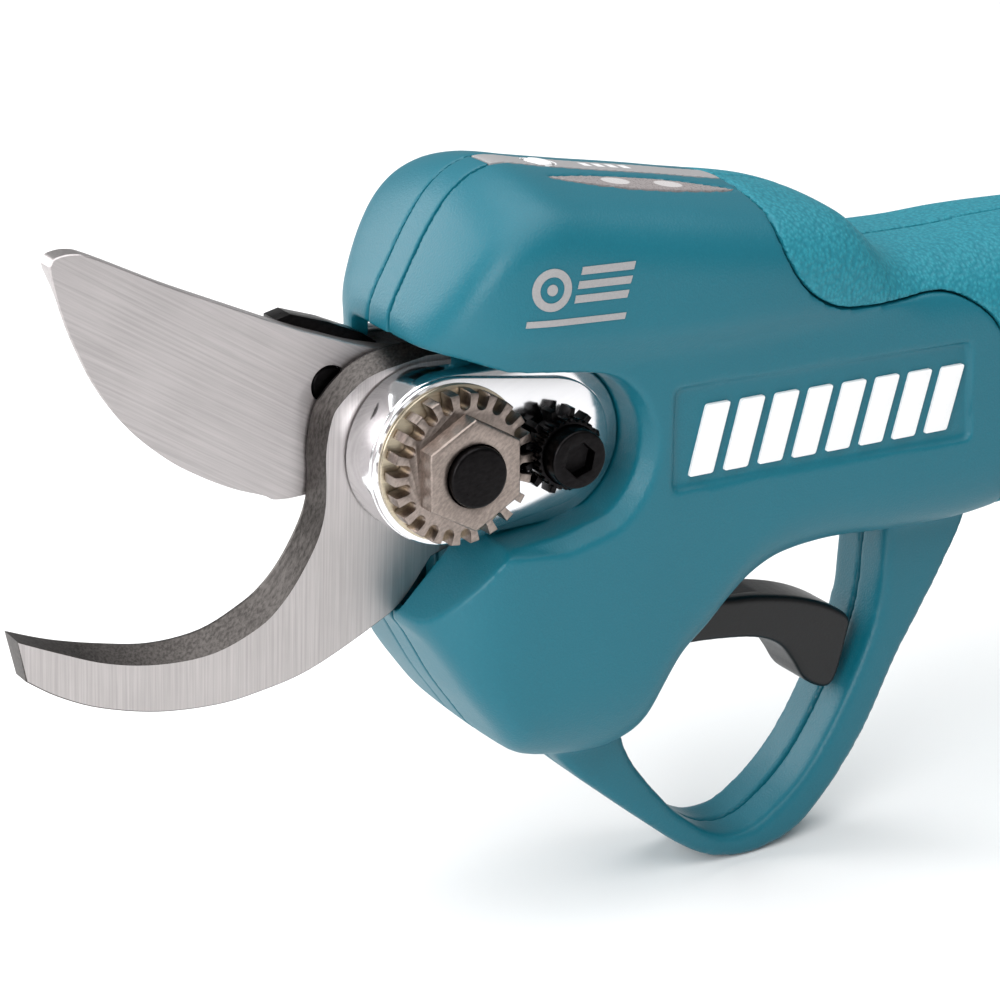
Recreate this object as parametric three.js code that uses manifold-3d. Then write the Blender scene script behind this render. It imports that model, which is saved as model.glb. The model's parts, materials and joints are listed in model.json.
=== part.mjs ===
// Battery electric pruner: bypass blades, geared brushless drive, clam-shell housing, slide-on battery.
// Millimetres, +Z up. The tool is drawn about its blade pivot: X runs from the blade tips back to the
// battery, Y across the tool (its left side is -Y), Z up. The group moves the finished tool so that its
// origin is the middle of the base that it stands on.
import * as THREE from 'three';
import { mergeVertices } from 'three/addons/utils/BufferGeometryUtils.js';
import Module from 'manifold-3d';

const wasm = await Module();
wasm.setup();

// ---------------------------------------------------------------- driving dimensions
const GAP = 0.3;              // clearance between neighbouring pieces
const WALL = 2.5;             // housing wall
const SKIN = 2;               // thickness of the soft grip
const SEAM = 3.4;             // half-width of the centre strip between the shells
const BASE_Z = -86.4;         // the base that the tool stands on
const HOOK_Y = [-4.6, -0.3];  // counter blade
const BLADE_Y = [0, 4];       // cutting blade
const SECTOR_Y = [4.3, 8.8];  // toothed sector behind the cutting blade
const ARM_Y = [-14, -4.9];    // polished pivot arm
const BOLT_R = 5;             // M10 pivot bolt
const BUSH_R = 6.5;           // bush that the cutting blade turns on
const ARM_END = 18;           // pivot to lock gear
const NUT_TEETH = 22;
const LOCK_TEETH = 12;
const NUT_MODULE = 2 * ARM_END / (NUT_TEETH + LOCK_TEETH);
const SECTOR_TEETH = 40;
const PINION_TEETH = 8;
const DRIVE_MODULE = 1.25;
const CROSS_X = DRIVE_MODULE * (SECTOR_TEETH + PINION_TEETH) / 2;
const MITRE_TEETH = 14;
const MITRE_R = 9;            // pitch radius at the mitre gears' large end
const MITRE_SMALL = 6.7;      // pitch radius at their small end
const MOTOR_Y = 4.5;          // motor axis, across the tool
const MOTOR_R = 13;
const PLANET_MODULE = 0.5;
const SUN_TEETH = 12;
const PLANET_TEETH = 15;
const RING_TEETH = SUN_TEETH + 2 * PLANET_TEETH;
const TRIGGER_PIN = [38, -38];
const TRIGGER_HALF = 5.5;
const GUARD_HALF = 7.5;
const FOOT_X = 186;           // rear face of the foot
const PACK_X = [191.8, 204, 233];
const PACK_HALF = 37;
const PACK_Z = [BASE_Z, 20];
const CELL_R = 9.2;
const CELL_HALF = 32.5;
const TIP_X = -71.7;          // front end of the counter blade

// Sections of the housing: x, top, bottom, half-width, corner radius.
const SECTIONS = [
  [-5.4, 22, -29, 6, 5], [-4, 25.2, -30.5, 10.5, 8], [-2, 28.8, -34, 14.5, 10], [1.6, 35.2, -40.5, 18.6, 11],
  [5.4, 40.2, -46, 21.4, 11], [9.5, 43.2, -51.4, 23, 11], [14, 44.4, -54.8, 23.8, 11],
  [22, 43, -57.6, 24, 11], [28, 41.9, -58.4, 24, 11], [34, 40.8, -56.4, 24, 11], [37, 40.3, -50, 24, 11],
  [41, 39.6, -43.2, 24, 11], [46.5, 38.6, -38.2, 24, 10], [51, 37.7, -34, 23.8, 10], [56, 36.8, -30.4, 23.5, 10],
  [62, 35.7, -28, 23, 10], [68, 34.2, -27.2, 22.4, 10], [73, 32.2, -27, 21.8, 10], [78, 27.8, -27.2, 21.2, 10],
  [82, 24, -27.6, 21, 10], [88, 22.3, -28.2, 20.8, 11], [100, 22.2, -28.8, 20.6, 12], [112, 22.8, -28, 20.4, 13],
  [125, 23, -24.4, 19.6, 14], [140, 22.2, -20.6, 18.6, 15], [155, 19.8, -19.4, 18, 15],
  [165, 18.8, -21.4, 19, 15], [172, 20.6, -31, 24, 12], [177, 23, -44, 31, 10], [FOOT_X, 24, -50, 34, 8],
];
const CROWN = 1.2;            // rise of the top and bottom towards the middle
const OUTER_STEPS = 3;        // faces round each corner of a section
const INNER_STEPS = 2;

// Outlines in the X-Z plane.
const GRIP_ZONE = [
  [57.8, 48], [57.6, 36.6], [56.4, 31], [58.8, 25], [63.6, 20], [70.6, 16.9], [82, 16.2], [92, 16.1],
  [99, 13], [104, 8], [106.2, 1], [106.6, -9], [106.4, -18], [109.6, -24], [110, -34], [166, -34], [166, 48],
];
const GUARD_OUTER = [
  [23.5, -57.5], [27, -62.4], [35.2, -69.6], [43.2, -76.3], [50.4, -82], [57.2, -85.4], [65.8, -86.4], [74.5, -83.6],
  [82.4, -75.9], [89.3, -66], [94.7, -55.2], [102, -43.2], [105.8, -36.4], [108.6, -30], [109, -12], [30, -12],
];
const GUARD_INNER = [
  [91, -22], [91, -34.6], [89.5, -47.3], [83.7, -60.7], [76.7, -72.1], [70.2, -78.3], [63.5, -81.8], [56.5, -81],
  [49, -75.3], [43.6, -69], [39.6, -63.5], [37.4, -58.8], [36.9, -55], [38.2, -50], [41, -45], [60, -22],
];
const BLADE_BACK = [[-60.2, 36.3], [-59.2, 37.7], [-56.2, 38], [-52.7, 36.8], [-41.3, 31], [-32.1, 26.7],
  [-20.7, 21.5], [-14.5, 19], [-8, 16.6], [0, 14.6]];
const BLADE_EDGE = [[-21.4, -6.7], [-24.2, -6.4], [-24.9, -5.8], [-31.1, -3.4], [-36.7, -0.4], [-42.3, 3.4],
  [-48.4, 9.2], [-53.3, 16.1], [-56.5, 22.9], [-58.8, 29.6]];
const BLADE_PIN = [-14, 11];
const HOOK_INNER = [[-71.4, -17.9], [-63.1, -21], [-54.1, -23.4], [-46.4, -24.6], [-39.5, -24.1], [-32, -21.4],
  [-26.8, -17.6], [-23.7, -13.6], [-21.6, -9.8], [-20.6, -5.4], [-20.6, 2.4], [-18.6, 9.2], [-13.3, 14.3]];
const HOOK_BEVEL = [0.9, 2.3, 3.4, 3.8, 4.2, 4.8, 4.8, 4.4, 3.9, 3.6, 3.4, 3.2, 2.6];
const HOOK_OUTER = [[1.5, -19.3], [-3.8, -25.9], [-9.2, -29.3], [-20.7, -34.5], [-30, -36.5], [-37.5, -37.1],
  [-47.3, -36.2], [-57, -33.5], [-64, -30.1], [-69.4, -25.9]];
const TRIGGER = [[38, -33.5], [48, -36.6], [56, -39.2], [65.2, -39.4], [76.3, -42], [85.6, -46.6], [83, -57],
  [81.5, -58.2], [79.5, -58], [75.7, -55.6], [73.3, -51.6], [70.3, -48], [65.4, -45.8], [49, -44.2], [38, -42.5]];
const TRIGGER_SLOT = [[37.6, -47.4], [41.5, -49], [60.5, -29.4], [55, -24], [38, -30]];
const STRIP_TOP = [[-4.7, 18], [-5.6, 21.6], [-2.2, 28.4], [1.6, 35.2], [5.4, 40.2], [9.2, 43.1], [13, 44.4]];
const STRIP_LOW = [[-4.6, -28.6], [0.4, -38.2], [6.6, -47.8], [10, -51.9], [15, -55.2], [23, -57.9]];
const PANEL = [[13.4, 44.45], [57.2, 36.5]];
const SCREWS = [[36, 32], [63, 26], [16.5, -44], [31, -50], [97, -22.6], [150, 0]];
const LABEL = [[38, 7.6], [97.4, 7.2], [98.2, -10.6], [37, -9.6]];
const LABEL_Y = [-23.2, -20];  // floor of the label recess at its front and rear ends
const LENS = { x0: 20, x1: 56, y: -9, half: 2.6, depth: 1.4 };

// ---------------------------------------------------------------- solids
function solid(geometry) {
  geometry.deleteAttribute('normal');
  geometry.deleteAttribute('uv');
  const merged = mergeVertices(geometry, 1e-4);
  const index = merged.index.array;
  const faces = [];
  for (let i = 0; i < index.length; i += 3) {
    const [a, b, c] = [index[i], index[i + 1], index[i + 2]];
    if (a !== b && b !== c && c !== a) faces.push(a, b, c);
  }
  const mesh = new wasm.Mesh({
    numProp: 3,
    vertProperties: new Float32Array(merged.attributes.position.array),
    triVerts: new Uint32Array(faces),
  });
  return new wasm.Manifold(mesh);
}

function join(first, ...others) {
  return others.reduce((whole, part) => whole.add(part), first);
}

function cut(first, ...others) {
  return others.reduce((whole, part) => whole.subtract(part), first);
}

function surface(body) {
  const mesh = body.getMesh();
  const positions = new Float32Array(mesh.numVert * 3);
  for (let v = 0; v < mesh.numVert; v++) {
    for (let k = 0; k < 3; k++) positions[3 * v + k] = mesh.vertProperties[v * mesh.numProp + k];
  }
  const geometry = new THREE.BufferGeometry();
  geometry.setAttribute('position', new THREE.BufferAttribute(positions, 3));
  geometry.setIndex(Array.from(mesh.triVerts));
  geometry.computeVertexNormals();
  return geometry;
}

function shapeOf(points) {
  return new THREE.Shape(points.map(([x, z]) => new THREE.Vector2(x, z)));
}

// A prism of an X-Z outline, from y0 to y1.
function prism(points, y0, y1) {
  const geometry = new THREE.ExtrudeGeometry(shapeOf(points), { depth: y1 - y0, bevelEnabled: false });
  return solid(geometry.translate(0, 0, -y1).rotateX(Math.PI / 2));
}

// A prism of an X-Z outline whose edges are rounded by r on both faces.
function softPrism(points, y0, y1, r) {
  const geometry = new THREE.ExtrudeGeometry(shapeOf(points), {
    depth: y1 - y0 - 2 * r, bevelThickness: r, bevelSize: r, bevelOffset: -r, bevelSegments: 2,
  });
  return solid(geometry.translate(0, 0, r - y1).rotateX(Math.PI / 2));
}

// A prism whose y0 face carries another outline with the same number of points.
function wedge(points, facePoints, y0, y1) {
  const geometry = new THREE.ExtrudeGeometry(shapeOf(points), { depth: y1 - y0, bevelEnabled: false });
  geometry.translate(0, 0, -y1).rotateX(Math.PI / 2);
  const place = geometry.attributes.position;
  for (let v = 0; v < place.count; v++) {
    if (Math.abs(place.getY(v) - y0) > 1e-3) continue;
    const at = points.findIndex(([x, z]) => Math.hypot(x - place.getX(v), z - place.getZ(v)) < 1e-3);
    place.setX(v, facePoints[at][0]);
    place.setZ(v, facePoints[at][1]);
  }
  return solid(geometry);
}

function disc(x, z, r, y0, y1, sides = 24) {
  const geometry = new THREE.CylinderGeometry(r, r, y1 - y0, sides);
  return solid(geometry.translate(x, (y0 + y1) / 2, z));
}

function ring(x, z, outer, inner, y0, y1, sides = 24) {
  return disc(x, z, outer, y0, y1, sides).subtract(disc(x, z, inner, y0 - 1, y1 + 1, sides));
}

// A rod along X on the motor axis unless y and z say otherwise.
function rod(x0, x1, r, sides = 24, y = MOTOR_Y, z = 0) {
  const geometry = new THREE.CylinderGeometry(r, r, x1 - x0, sides).rotateZ(-Math.PI / 2);
  return solid(geometry.translate((x0 + x1) / 2, y, z));
}

function tube(x0, x1, outer, inner, sides = 24) {
  return rod(x0, x1, outer, sides).subtract(rod(x0 - 1, x1 + 1, inner, sides));
}

function box(x0, x1, y0, y1, z0, z1) {
  const geometry = new THREE.BoxGeometry(x1 - x0, y1 - y0, z1 - z0);
  return solid(geometry.translate((x0 + x1) / 2, (y0 + y1) / 2, (z0 + z1) / 2));
}

// A block along X with rounded vertical corners, its rear edge rounded when soft is given.
function block(x0, x1, half, z0, z1, r, soft = 0) {
  const shape = new THREE.Shape();
  shape.moveTo(-half + r, z0);
  shape.lineTo(half - r, z0);
  shape.absarc(half - r, z0 + r, r, -Math.PI / 2, 0);
  shape.absarc(half - r, z1 - r, r, 0, Math.PI / 2);
  shape.absarc(-half + r, z1 - r, r, Math.PI / 2, Math.PI);
  shape.absarc(-half + r, z0 + r, r, Math.PI, Math.PI * 1.5);
  const geometry = new THREE.ExtrudeGeometry(shape, {
    depth: x1 - x0 - soft, curveSegments: 4, bevelEnabled: soft > 0, bevelSegments: 3,
    bevelThickness: soft, bevelSize: soft, bevelOffset: -soft,
  });
  geometry.rotateX(Math.PI / 2).rotateZ(Math.PI / 2);
  const whole = solid(geometry.translate(x0, 0, 0));
  return soft > 0 ? cut(whole, box(x0 - soft - 1, x0, -half, half, z0 - 1, z1 + 1)) : whole;
}

// Gear outline: four points a tooth. widths are the tooth's shares of the pitch at root and tip.
function gearOutline(teeth, module, turn, { tip = 0.85, root = 1.1, rootShare = 0.52, tipShare = 0.2 } = {}) {
  const pitch = 2 * Math.PI / teeth;
  const radius = module * teeth / 2;
  const points = [];
  for (let t = 0; t < teeth; t++) {
    const middle = turn + t * pitch;
    const corners = [[-rootShare, -root], [-tipShare, tip], [tipShare, tip], [rootShare, -root]];
    for (const [share, height] of corners) {
      const angle = middle + share * pitch / 2;
      const r = radius + height * module;
      points.push([r * Math.cos(angle), r * Math.sin(angle)]);
    }
  }
  return points;
}

// A gear about the Y axis through x, z.
function gear(x, z, teeth, module, turn, y0, y1, form) {
  const points = gearOutline(teeth, module, turn, form).map(([a, b]) => [a + x, b + z]);
  return prism(points, y0, y1);
}

// A gear about the motor axis; its outline's angle runs from +Y towards +Z.
function axialGear(teeth, module, turn, x0, x1, form) {
  const shape = shapeOf(gearOutline(teeth, module, turn, form));
  const geometry = new THREE.ExtrudeGeometry(shape, { depth: x1 - x0, bevelEnabled: false });
  geometry.rotateX(Math.PI / 2).rotateZ(Math.PI / 2);
  return solid(geometry.translate(x0, MOTOR_Y, 0));
}

// A mitre gear about +Z whose teeth shrink towards its apex at the origin.
function mitre(turn) {
  const form = { tip: 0.7, root: 0.95, rootShare: 0.5, tipShare: 0.16 };
  const outline = gearOutline(MITRE_TEETH, 2 * MITRE_R / MITRE_TEETH, turn, form);
  const geometry = new THREE.ExtrudeGeometry(shapeOf(outline), {
    depth: MITRE_R - MITRE_SMALL, bevelEnabled: false,
  });
  geometry.translate(0, 0, MITRE_SMALL);
  const place = geometry.attributes.position;
  for (let v = 0; v < place.count; v++) {
    const shrink = place.getZ(v) / MITRE_R;
    place.setX(v, place.getX(v) * shrink);
    place.setY(v, place.getY(v) * shrink);
  }
  return geometry;
}

// Moves an outline's points outwards by d (the outline runs either way round).
function grow(points, d) {
  const area = points.reduce((sum, [x, z], i) => {
    const [nextX, nextZ] = points[(i + 1) % points.length];
    return sum + x * nextZ - nextX * z;
  }, 0);
  const side = Math.sign(area);
  return points.map(([x, z], i) => {
    const before = points[(i + points.length - 1) % points.length];
    const after = points[(i + 1) % points.length];
    const one = new THREE.Vector2(z - before[1], before[0] - x).normalize();
    const two = new THREE.Vector2(after[1] - z, x - after[0]).normalize();
    const normal = one.clone().add(two).normalize();
    const reach = side * d / Math.max(normal.dot(one), 0.5);
    return [x + normal.x * reach, z + normal.y * reach];
  });
}

// Moves an open line's points sideways by the distances given, to the left of its direction.
function shift(points, distances) {
  return points.map(([x, z], i) => {
    const a = points[Math.max(i - 1, 0)];
    const b = points[Math.min(i + 1, points.length - 1)];
    const along = new THREE.Vector2(b[0] - a[0], b[1] - a[1]).normalize();
    const d = Array.isArray(distances) ? distances[i] : distances;
    return [x - along.y * d, z + along.x * d];
  });
}

function arc(x, z, r, from, to, steps) {
  const points = [];
  for (let s = 0; s <= steps; s++) {
    const angle = THREE.MathUtils.degToRad(from + (to - from) * s / steps);
    points.push([x + r * Math.cos(angle), z + r * Math.sin(angle)]);
  }
  return points;
}

// Two circles on the line z = 0 and the straight sides between them.
function obround(r, endX, endR, grown = 0) {
  const lean = THREE.MathUtils.radToDeg(Math.asin((r - endR) / endX));
  const front = arc(0, 0, r + grown, 90 - lean, 270 + lean, 14);
  const rear = arc(endX, 0, endR + grown, -90 + lean, 90 - lean, 12);
  return [...front, ...rear];
}

// ---------------------------------------------------------------- housing
function sectionPoints([, top, bottom, half, radius], inset, steps) {
  const w = half - inset;
  const r = Math.min(Math.max(radius - inset, 2), w - 0.5);
  const rise = CROWN * ((w - r) / w) ** 2;
  const points = [[0, top - inset]];
  const corner = (y, z, from) => {
    for (let s = 0; s <= steps; s++) {
      const angle = from + s / steps * Math.PI / 2;
      points.push([y + r * Math.cos(angle), z + r * Math.sin(angle)]);
    }
  };
  corner(-w + r, top - inset - r - rise, Math.PI / 2);
  points.push([-w, (top + bottom) / 2]);
  corner(-w + r, bottom + inset + r + rise, Math.PI);
  points.push([0, bottom + inset]);
  corner(w - r, bottom + inset + r + rise, Math.PI * 1.5);
  points.push([w, (top + bottom) / 2]);
  corner(w - r, top - inset - r - rise, 0);
  return points;
}

// The housing's outer form, drawn in by inset all round.
function housingForm(inset, steps = OUTER_STEPS) {
  const rings = SECTIONS.map((section) => sectionPoints(section, inset, steps));
  const around = rings[0].length;
  const along = SECTIONS.length - 1;
  const geometry = new THREE.CylinderGeometry(1, 1, 1, around, along);
  const place = geometry.attributes.position;
  for (let v = 0; v < place.count; v++) {
    const row = Math.round((place.getY(v) + 0.5) * along);
    const turn = Math.atan2(place.getX(v), place.getZ(v)) / (2 * Math.PI);
    const [y, z] = rings[row][(Math.round(turn * around) + around) % around];
    const onAxis = Math.hypot(place.getX(v), place.getZ(v)) < 0.5;
    const middle = (SECTIONS[row][1] + SECTIONS[row][2]) / 2;
    const end = row === 0 ? inset : row === along ? -inset : 0;
    place.setXYZ(v, SECTIONS[row][0] + end, onAxis ? 0 : y, onAxis ? middle : z);
  }
  return solid(geometry);
}

const half = {
  left: box(-90, 240, -60, -GAP / 2, -100, 60),
  right: box(-90, 240, GAP / 2, 60, -100, 60),
};
const outer = housingForm(0);
const core = housingForm(SKIN + GAP);
const hollow = housingForm(SKIN + GAP + WALL, INNER_STEPS);
const gripZone = prism(GRIP_ZONE, -60, 60);
const gripRoom = prism(grow(GRIP_ZONE, GAP), -60, 60);
const frontHollow = cut(housingForm(WALL, INNER_STEPS), prism(grow(GRIP_ZONE, GAP + WALL), -60, 60),
  box(120, 240, -60, 60, -100, 60));
const guard = softPrism(GUARD_OUTER, -GUARD_HALF, GUARD_HALF, 2)
  .subtract(prism(GUARD_INNER, -GUARD_HALF - 1, GUARD_HALF + 1));

// Both shells in one: the hard outer form in front, the grip's core behind, hollow inside.
function housing() {
  const hard = join(outer.add(guard).subtract(gripRoom), core);
  const stripBand = join(
    box(-12, 57.5, -SEAM, SEAM, 16, 60),
    prism([[-12, -27], [4, -27], [23.3, -50], [23.3, -70], [-12, -70]], -SEAM, SEAM),
  );
  const trigger = prism(TRIGGER_SLOT, -TRIGGER_HALF - 0.8, TRIGGER_HALF + 0.8);
  const mouth = prism([[-20, 17.7], [5, 17.7], [5, -27.4], [-20, -27.4]], -5.2, 9.3);
  return cut(hard, hollow, frontHollow, stripBand, trigger, mouth);
}

function screwPosts(side) {
  const posts = SCREWS.map(([x, z]) => {
    const room = side < 0 ? [-22.5, -GAP / 2] : [GAP / 2, 22.5];
    return disc(x, z, 4.6, room[0], room[1], 16);
  });
  return join(...posts).intersect(join(outer.subtract(gripRoom), core));
}

function screwHoles(side) {
  const holes = SCREWS.map(([x, z]) => {
    if (side < 0) return disc(x, z, 1.75, -14, 10, 16);
    return join(disc(x, z, 1.75, -10, 40, 16), disc(x, z, 3.6, 10, 40, 16));
  });
  return join(...holes);
}

// Where the pivot arm lies in the left shell: a close-fitting hole and a wider, shallower recess.
function armPocket() {
  const hole = [[-20, 17.6], [0, 17.6], ...obround(14, ARM_END, 13, 1.3).slice(15).reverse(),
    [6, -17.4], [1.5, -21.6], [-3.8, -25.2], [-20, -25.2]];
  const recess = [[-20, 17.6], [8, 17.6], [24, 16.4], ...arc(ARM_END, 0, 17.4, 60, -78, 10),
    [9, -19], [3, -24.4], [-2.5, -27.2], [-20, -27.2]];
  return join(prism(hole, -40, -4.7), prism(recess, -40, -18));
}

// The shallow recess for the label: its floor follows the side of the head as it narrows to the rear.
function labelRecess() {
  const lean = Math.atan2(LABEL_Y[1] - LABEL_Y[0], LABEL[2][0] - LABEL[3][0]);
  const turned = LABEL.map(([x, z]) => [(x - LABEL[3][0]) / Math.cos(lean), z]);
  const body = prism(turned, -20, 0).rotate([0, 0, THREE.MathUtils.radToDeg(lean)]);
  return body.translate([LABEL[3][0], LABEL_Y[0], 0]);
}

// A pointed ellipse seen from above, between the display panel and the left side, grown by d.
function lensPrism(d) {
  const line = (side) => arc(0, 0, 1, 180, 0, 9).map(([t]) => {
    const reach = (LENS.half + d) * (1 - t * t);
    const middle = (LENS.x0 + LENS.x1) / 2;
    return new THREE.Vector2(middle + t * ((LENS.x1 - LENS.x0) / 2 + 2 * d), LENS.y + side * reach);
  });
  const shape = new THREE.Shape([...line(-1), ...line(1).reverse().slice(1, -1)]);
  return solid(new THREE.ExtrudeGeometry(shape, { depth: 40, bevelEnabled: false }).translate(0, 0, 20));
}

function statusLens() {
  return outer.intersect(lensPrism(0)).subtract(housingForm(LENS.depth));
}

function leftShell() {
  const shell = join(housing().intersect(half.left), screwPosts(-1));
  const lensRoom = lensPrism(GAP).subtract(housingForm(LENS.depth + GAP));
  return cut(shell, screwHoles(-1), armPocket(), labelRecess(), lensRoom);
}

function rightShell() {
  const shell = join(housing().intersect(half.right), screwPosts(1));
  const boss = join(disc(0, 0, 15, 9.3, 40), box(-20, 0, 9.3, 40, -15, 15));
  return cut(shell, screwHoles(1), boss);
}

function grip(side) {
  const band = cut(outer.intersect(gripZone), housingForm(SKIN));
  return band.intersect(half[side]);
}

// A band under the housing's front edge, between the two shells.
function strip(line, depth, rear) {
  const inner = shift(line, depth).reverse();
  const band = softPrism([...line, ...inner], -SEAM + GAP, SEAM - GAP, 0.4);
  return band.intersect(box(-20, rear, -SEAM, SEAM, -80, 60));
}

// Foot at the rear: a rail that the battery slides onto, with room for the terminals.
function footRail() {
  const neck = box(FOOT_X - 1, 188.6, -22, 22, -46, 18);
  const flange = box(188.5, 191.2, -26, 26, -46, 18);
  return join(neck, flange);
}

// ---------------------------------------------------------------- blades and pivot
function bladeOutline() {
  return [...BLADE_BACK, ...arc(0, 0, 14.6, 80, -150, 18), ...BLADE_EDGE];
}

function upperBlade() {
  const outline = bladeOutline();
  const first = outline.length - BLADE_EDGE.length + 3;
  const ground = outline.map(([x, z], i) => {
    if (i < first) return [x, z];
    const a = outline[i - 1];
    const b = outline[(i + 1) % outline.length];
    const along = new THREE.Vector2(b[0] - a[0], b[1] - a[1]).normalize();
    return [x + along.y * 3, z - along.x * 3];
  });
  const flipped = wedge(outline.map(([x, z]) => [x, z]), ground, -BLADE_Y[1], -BLADE_Y[0]);
  const body = flipped.mirror([0, 1, 0]);
  return cut(body, disc(0, 0, BUSH_R + GAP, -1, 6), disc(...BLADE_PIN, 3.5, -1, 6));
}

function hookBlade() {
  const tang = [[-4, 15.6], [12, 14.6], [24, 12], [24, -12], [12, -16]];
  const outline = [...HOOK_INNER, ...tang, ...HOOK_OUTER];
  const bevel = [...shift(HOOK_INNER, HOOK_BEVEL.map((d) => -d)), ...tang, ...HOOK_OUTER];
  return cut(wedge(outline, bevel, ...HOOK_Y), disc(0, 0, BOLT_R + GAP, -6, 1));
}

function sectorGear() {
  const wedgeRoom = [[0, 0], ...arc(0, 0, 40, -57, 10, 6)];
  const teeth = gear(0, 0, SECTOR_TEETH, DRIVE_MODULE, 0, ...SECTOR_Y)
    .intersect(prism(wedgeRoom, SECTOR_Y[0], SECTOR_Y[1]));
  const lug = [[-21.5, 14], [-21, 21.6], [-18.5, 22.2], [-12, 20], [-5.8, 17.2], [0, 13], [-8, -6], [-17, 4]];
  const plate = join(teeth, disc(0, 0, 13, ...SECTOR_Y), prism(lug, ...SECTOR_Y));
  return cut(plate, disc(0, 0, BUSH_R + GAP, 0, 12), disc(...BLADE_PIN, 3.3, 0, 12));
}

function pivotArm() {
  const foot = prism(obround(14, ARM_END, 13), ARM_Y[0] + 3, ARM_Y[1]);
  const face = prism(obround(14, ARM_END, 10.6), ARM_Y[0], ARM_Y[0] + 3.1);
  const lockHole = disc(ARM_END, 0, 2.8, -20, 0);
  return cut(join(foot, face), disc(0, 0, BOLT_R + GAP, -20, 0), lockHole);
}

function pivotBolt() {
  const shank = disc(0, 0, BOLT_R, -23, 14.4);
  const point = new THREE.CylinderGeometry(BOLT_R, BOLT_R - 0.8, 0.8, 36).translate(0, -23.4, 0);
  const head = solid(new THREE.CylinderGeometry(8.6, 8.6, 5, 6).translate(0, 16.8, 0));
  return join(shank, solid(point), head);
}

function adjustNut() {
  const teeth = gear(0, 0, NUT_TEETH, NUT_MODULE, 0, -18.8, -15.1);
  const hexR = 8 / Math.cos(Math.PI / 6);
  const hex = solid(new THREE.CylinderGeometry(hexR, hexR, 4, 6).translate(0, -20.2, 0));
  return cut(join(teeth, hex), disc(0, 0, BOLT_R + GAP, -30, 0));
}

function lockGear() {
  const teeth = gear(ARM_END, 0, LOCK_TEETH, NUT_MODULE, Math.PI / LOCK_TEETH, -18.5, -15.2);
  return cut(teeth, disc(ARM_END, 0, 3.2, -30, 0));
}

function lockScrew() {
  const shank = disc(ARM_END, 0, 2.5, -19, -6);
  const head = disc(ARM_END, 0, 5, -23.6, -18.8);
  const socketGeometry = new THREE.CylinderGeometry(2.9, 2.9, 4, 6).translate(ARM_END, -23.6, 0);
  return cut(join(shank, head), solid(socketGeometry));
}

function gearFrame() {
  const plate = prism(obround(14, CROSS_X, 11), 14.4, 17.4);
  const hub = disc(0, 0, 13, 9.2, 15);
  const well = solid(new THREE.CylinderGeometry(9.2, 9.2, 8, 6).translate(0, 18, 0));
  const rim = disc(0, 0, 14, 17, 21);
  return cut(join(plate, hub, rim), disc(0, 0, BOLT_R + GAP, 0, 30), well, disc(CROSS_X, 0, 5.3, 10, 20));
}

// ---------------------------------------------------------------- drive train
function crossShaft() {
  const pinion = gear(CROSS_X, 0, PINION_TEETH, DRIVE_MODULE, Math.PI / PINION_TEETH, 4.5, 8.8,
    { tip: 0.8, root: 1.15, rootShare: 0.5, tipShare: 0.18 });
  return join(pinion, disc(CROSS_X, 0, 2.4, 4, 17.6));
}

function crossMitre() {
  const teeth = solid(mitre(0).rotateX(-Math.PI / 2)).translate([CROSS_X, MOTOR_Y, 0]);
  return cut(teeth, disc(CROSS_X, 0, 2.7, 0, 30));
}

function driveMitre() {
  const geometry = mitre(Math.PI / MITRE_TEETH).rotateX(Math.PI / 2).rotateZ(Math.PI / 2);
  const teeth = solid(geometry).translate([CROSS_X, MOTOR_Y, 0]);
  const hub = rod(CROSS_X + MITRE_R - 0.1, CROSS_X + MITRE_R + 2.4, 5.5);
  return cut(join(teeth, hub), rod(30, 45, 2.7, 20));
}

const PLANET_ORBIT = PLANET_MODULE * (SUN_TEETH + PLANET_TEETH) / 2;
const PLANET_X = [50.4, 56];

function onOrbit(body, turn) {
  return body.translate([0, PLANET_ORBIT * Math.cos(turn), PLANET_ORBIT * Math.sin(turn)]);
}

function planetCarrier() {
  const shaft = rod(CROSS_X + MITRE_SMALL - 0.6, 47.2, 2.4, 20);
  const plate = rod(47, 49.8, 9);
  const pins = [0, 1, 2].map((k) => onOrbit(rod(49.6, 55.6, 1.1, 12), k * Math.PI * 2 / 3));
  return join(shaft, plate, ...pins);
}

function planet(k) {
  const turn = k * Math.PI * 2 / 3;
  const toSun = turn + Math.PI;
  const teeth = axialGear(PLANET_TEETH, PLANET_MODULE, toSun + Math.PI / PLANET_TEETH, ...PLANET_X,
    { tip: 0.7, root: 1, rootShare: 0.46, tipShare: 0.14 });
  return onOrbit(cut(teeth, rod(40, 70, 1.35, 12)), turn);
}

function ringGear() {
  const space = axialGear(RING_TEETH, PLANET_MODULE, 0, PLANET_X[0] - 2, PLANET_X[1] + 2,
    { tip: 1.15, root: 0.6, rootShare: 0.86, tipShare: 0.5 });
  return rod(PLANET_X[0] - 0.4, PLANET_X[1] + 0.4, 12.6).subtract(space);
}

// Front half of the gearbox: a cup round the carrier that carries the output bearing.
function gearCup() {
  const mouth = PLANET_X[0] - 0.7;
  return cut(rod(44.5, mouth, 12.6), rod(46.5, mouth + 1, 9.8), rod(40, 50, 5.6, 20));
}

function motorShaft() {
  const sun = axialGear(SUN_TEETH, PLANET_MODULE, 0, PLANET_X[0] + 0.2, PLANET_X[1],
    { tip: 0.7, root: 1, rootShare: 0.46, tipShare: 0.14 });
  return join(sun, rod(PLANET_X[1] - 0.2, 103, 1.9, 20));
}

function motorCan() {
  const shell = cut(rod(61, 99.6, MOTOR_R), rod(63, 110, MOTOR_R - 1.2), rod(55, 70, 4.7));
  return cut(shell, box(66, 74, -20, 30, 9, 20));
}

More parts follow.
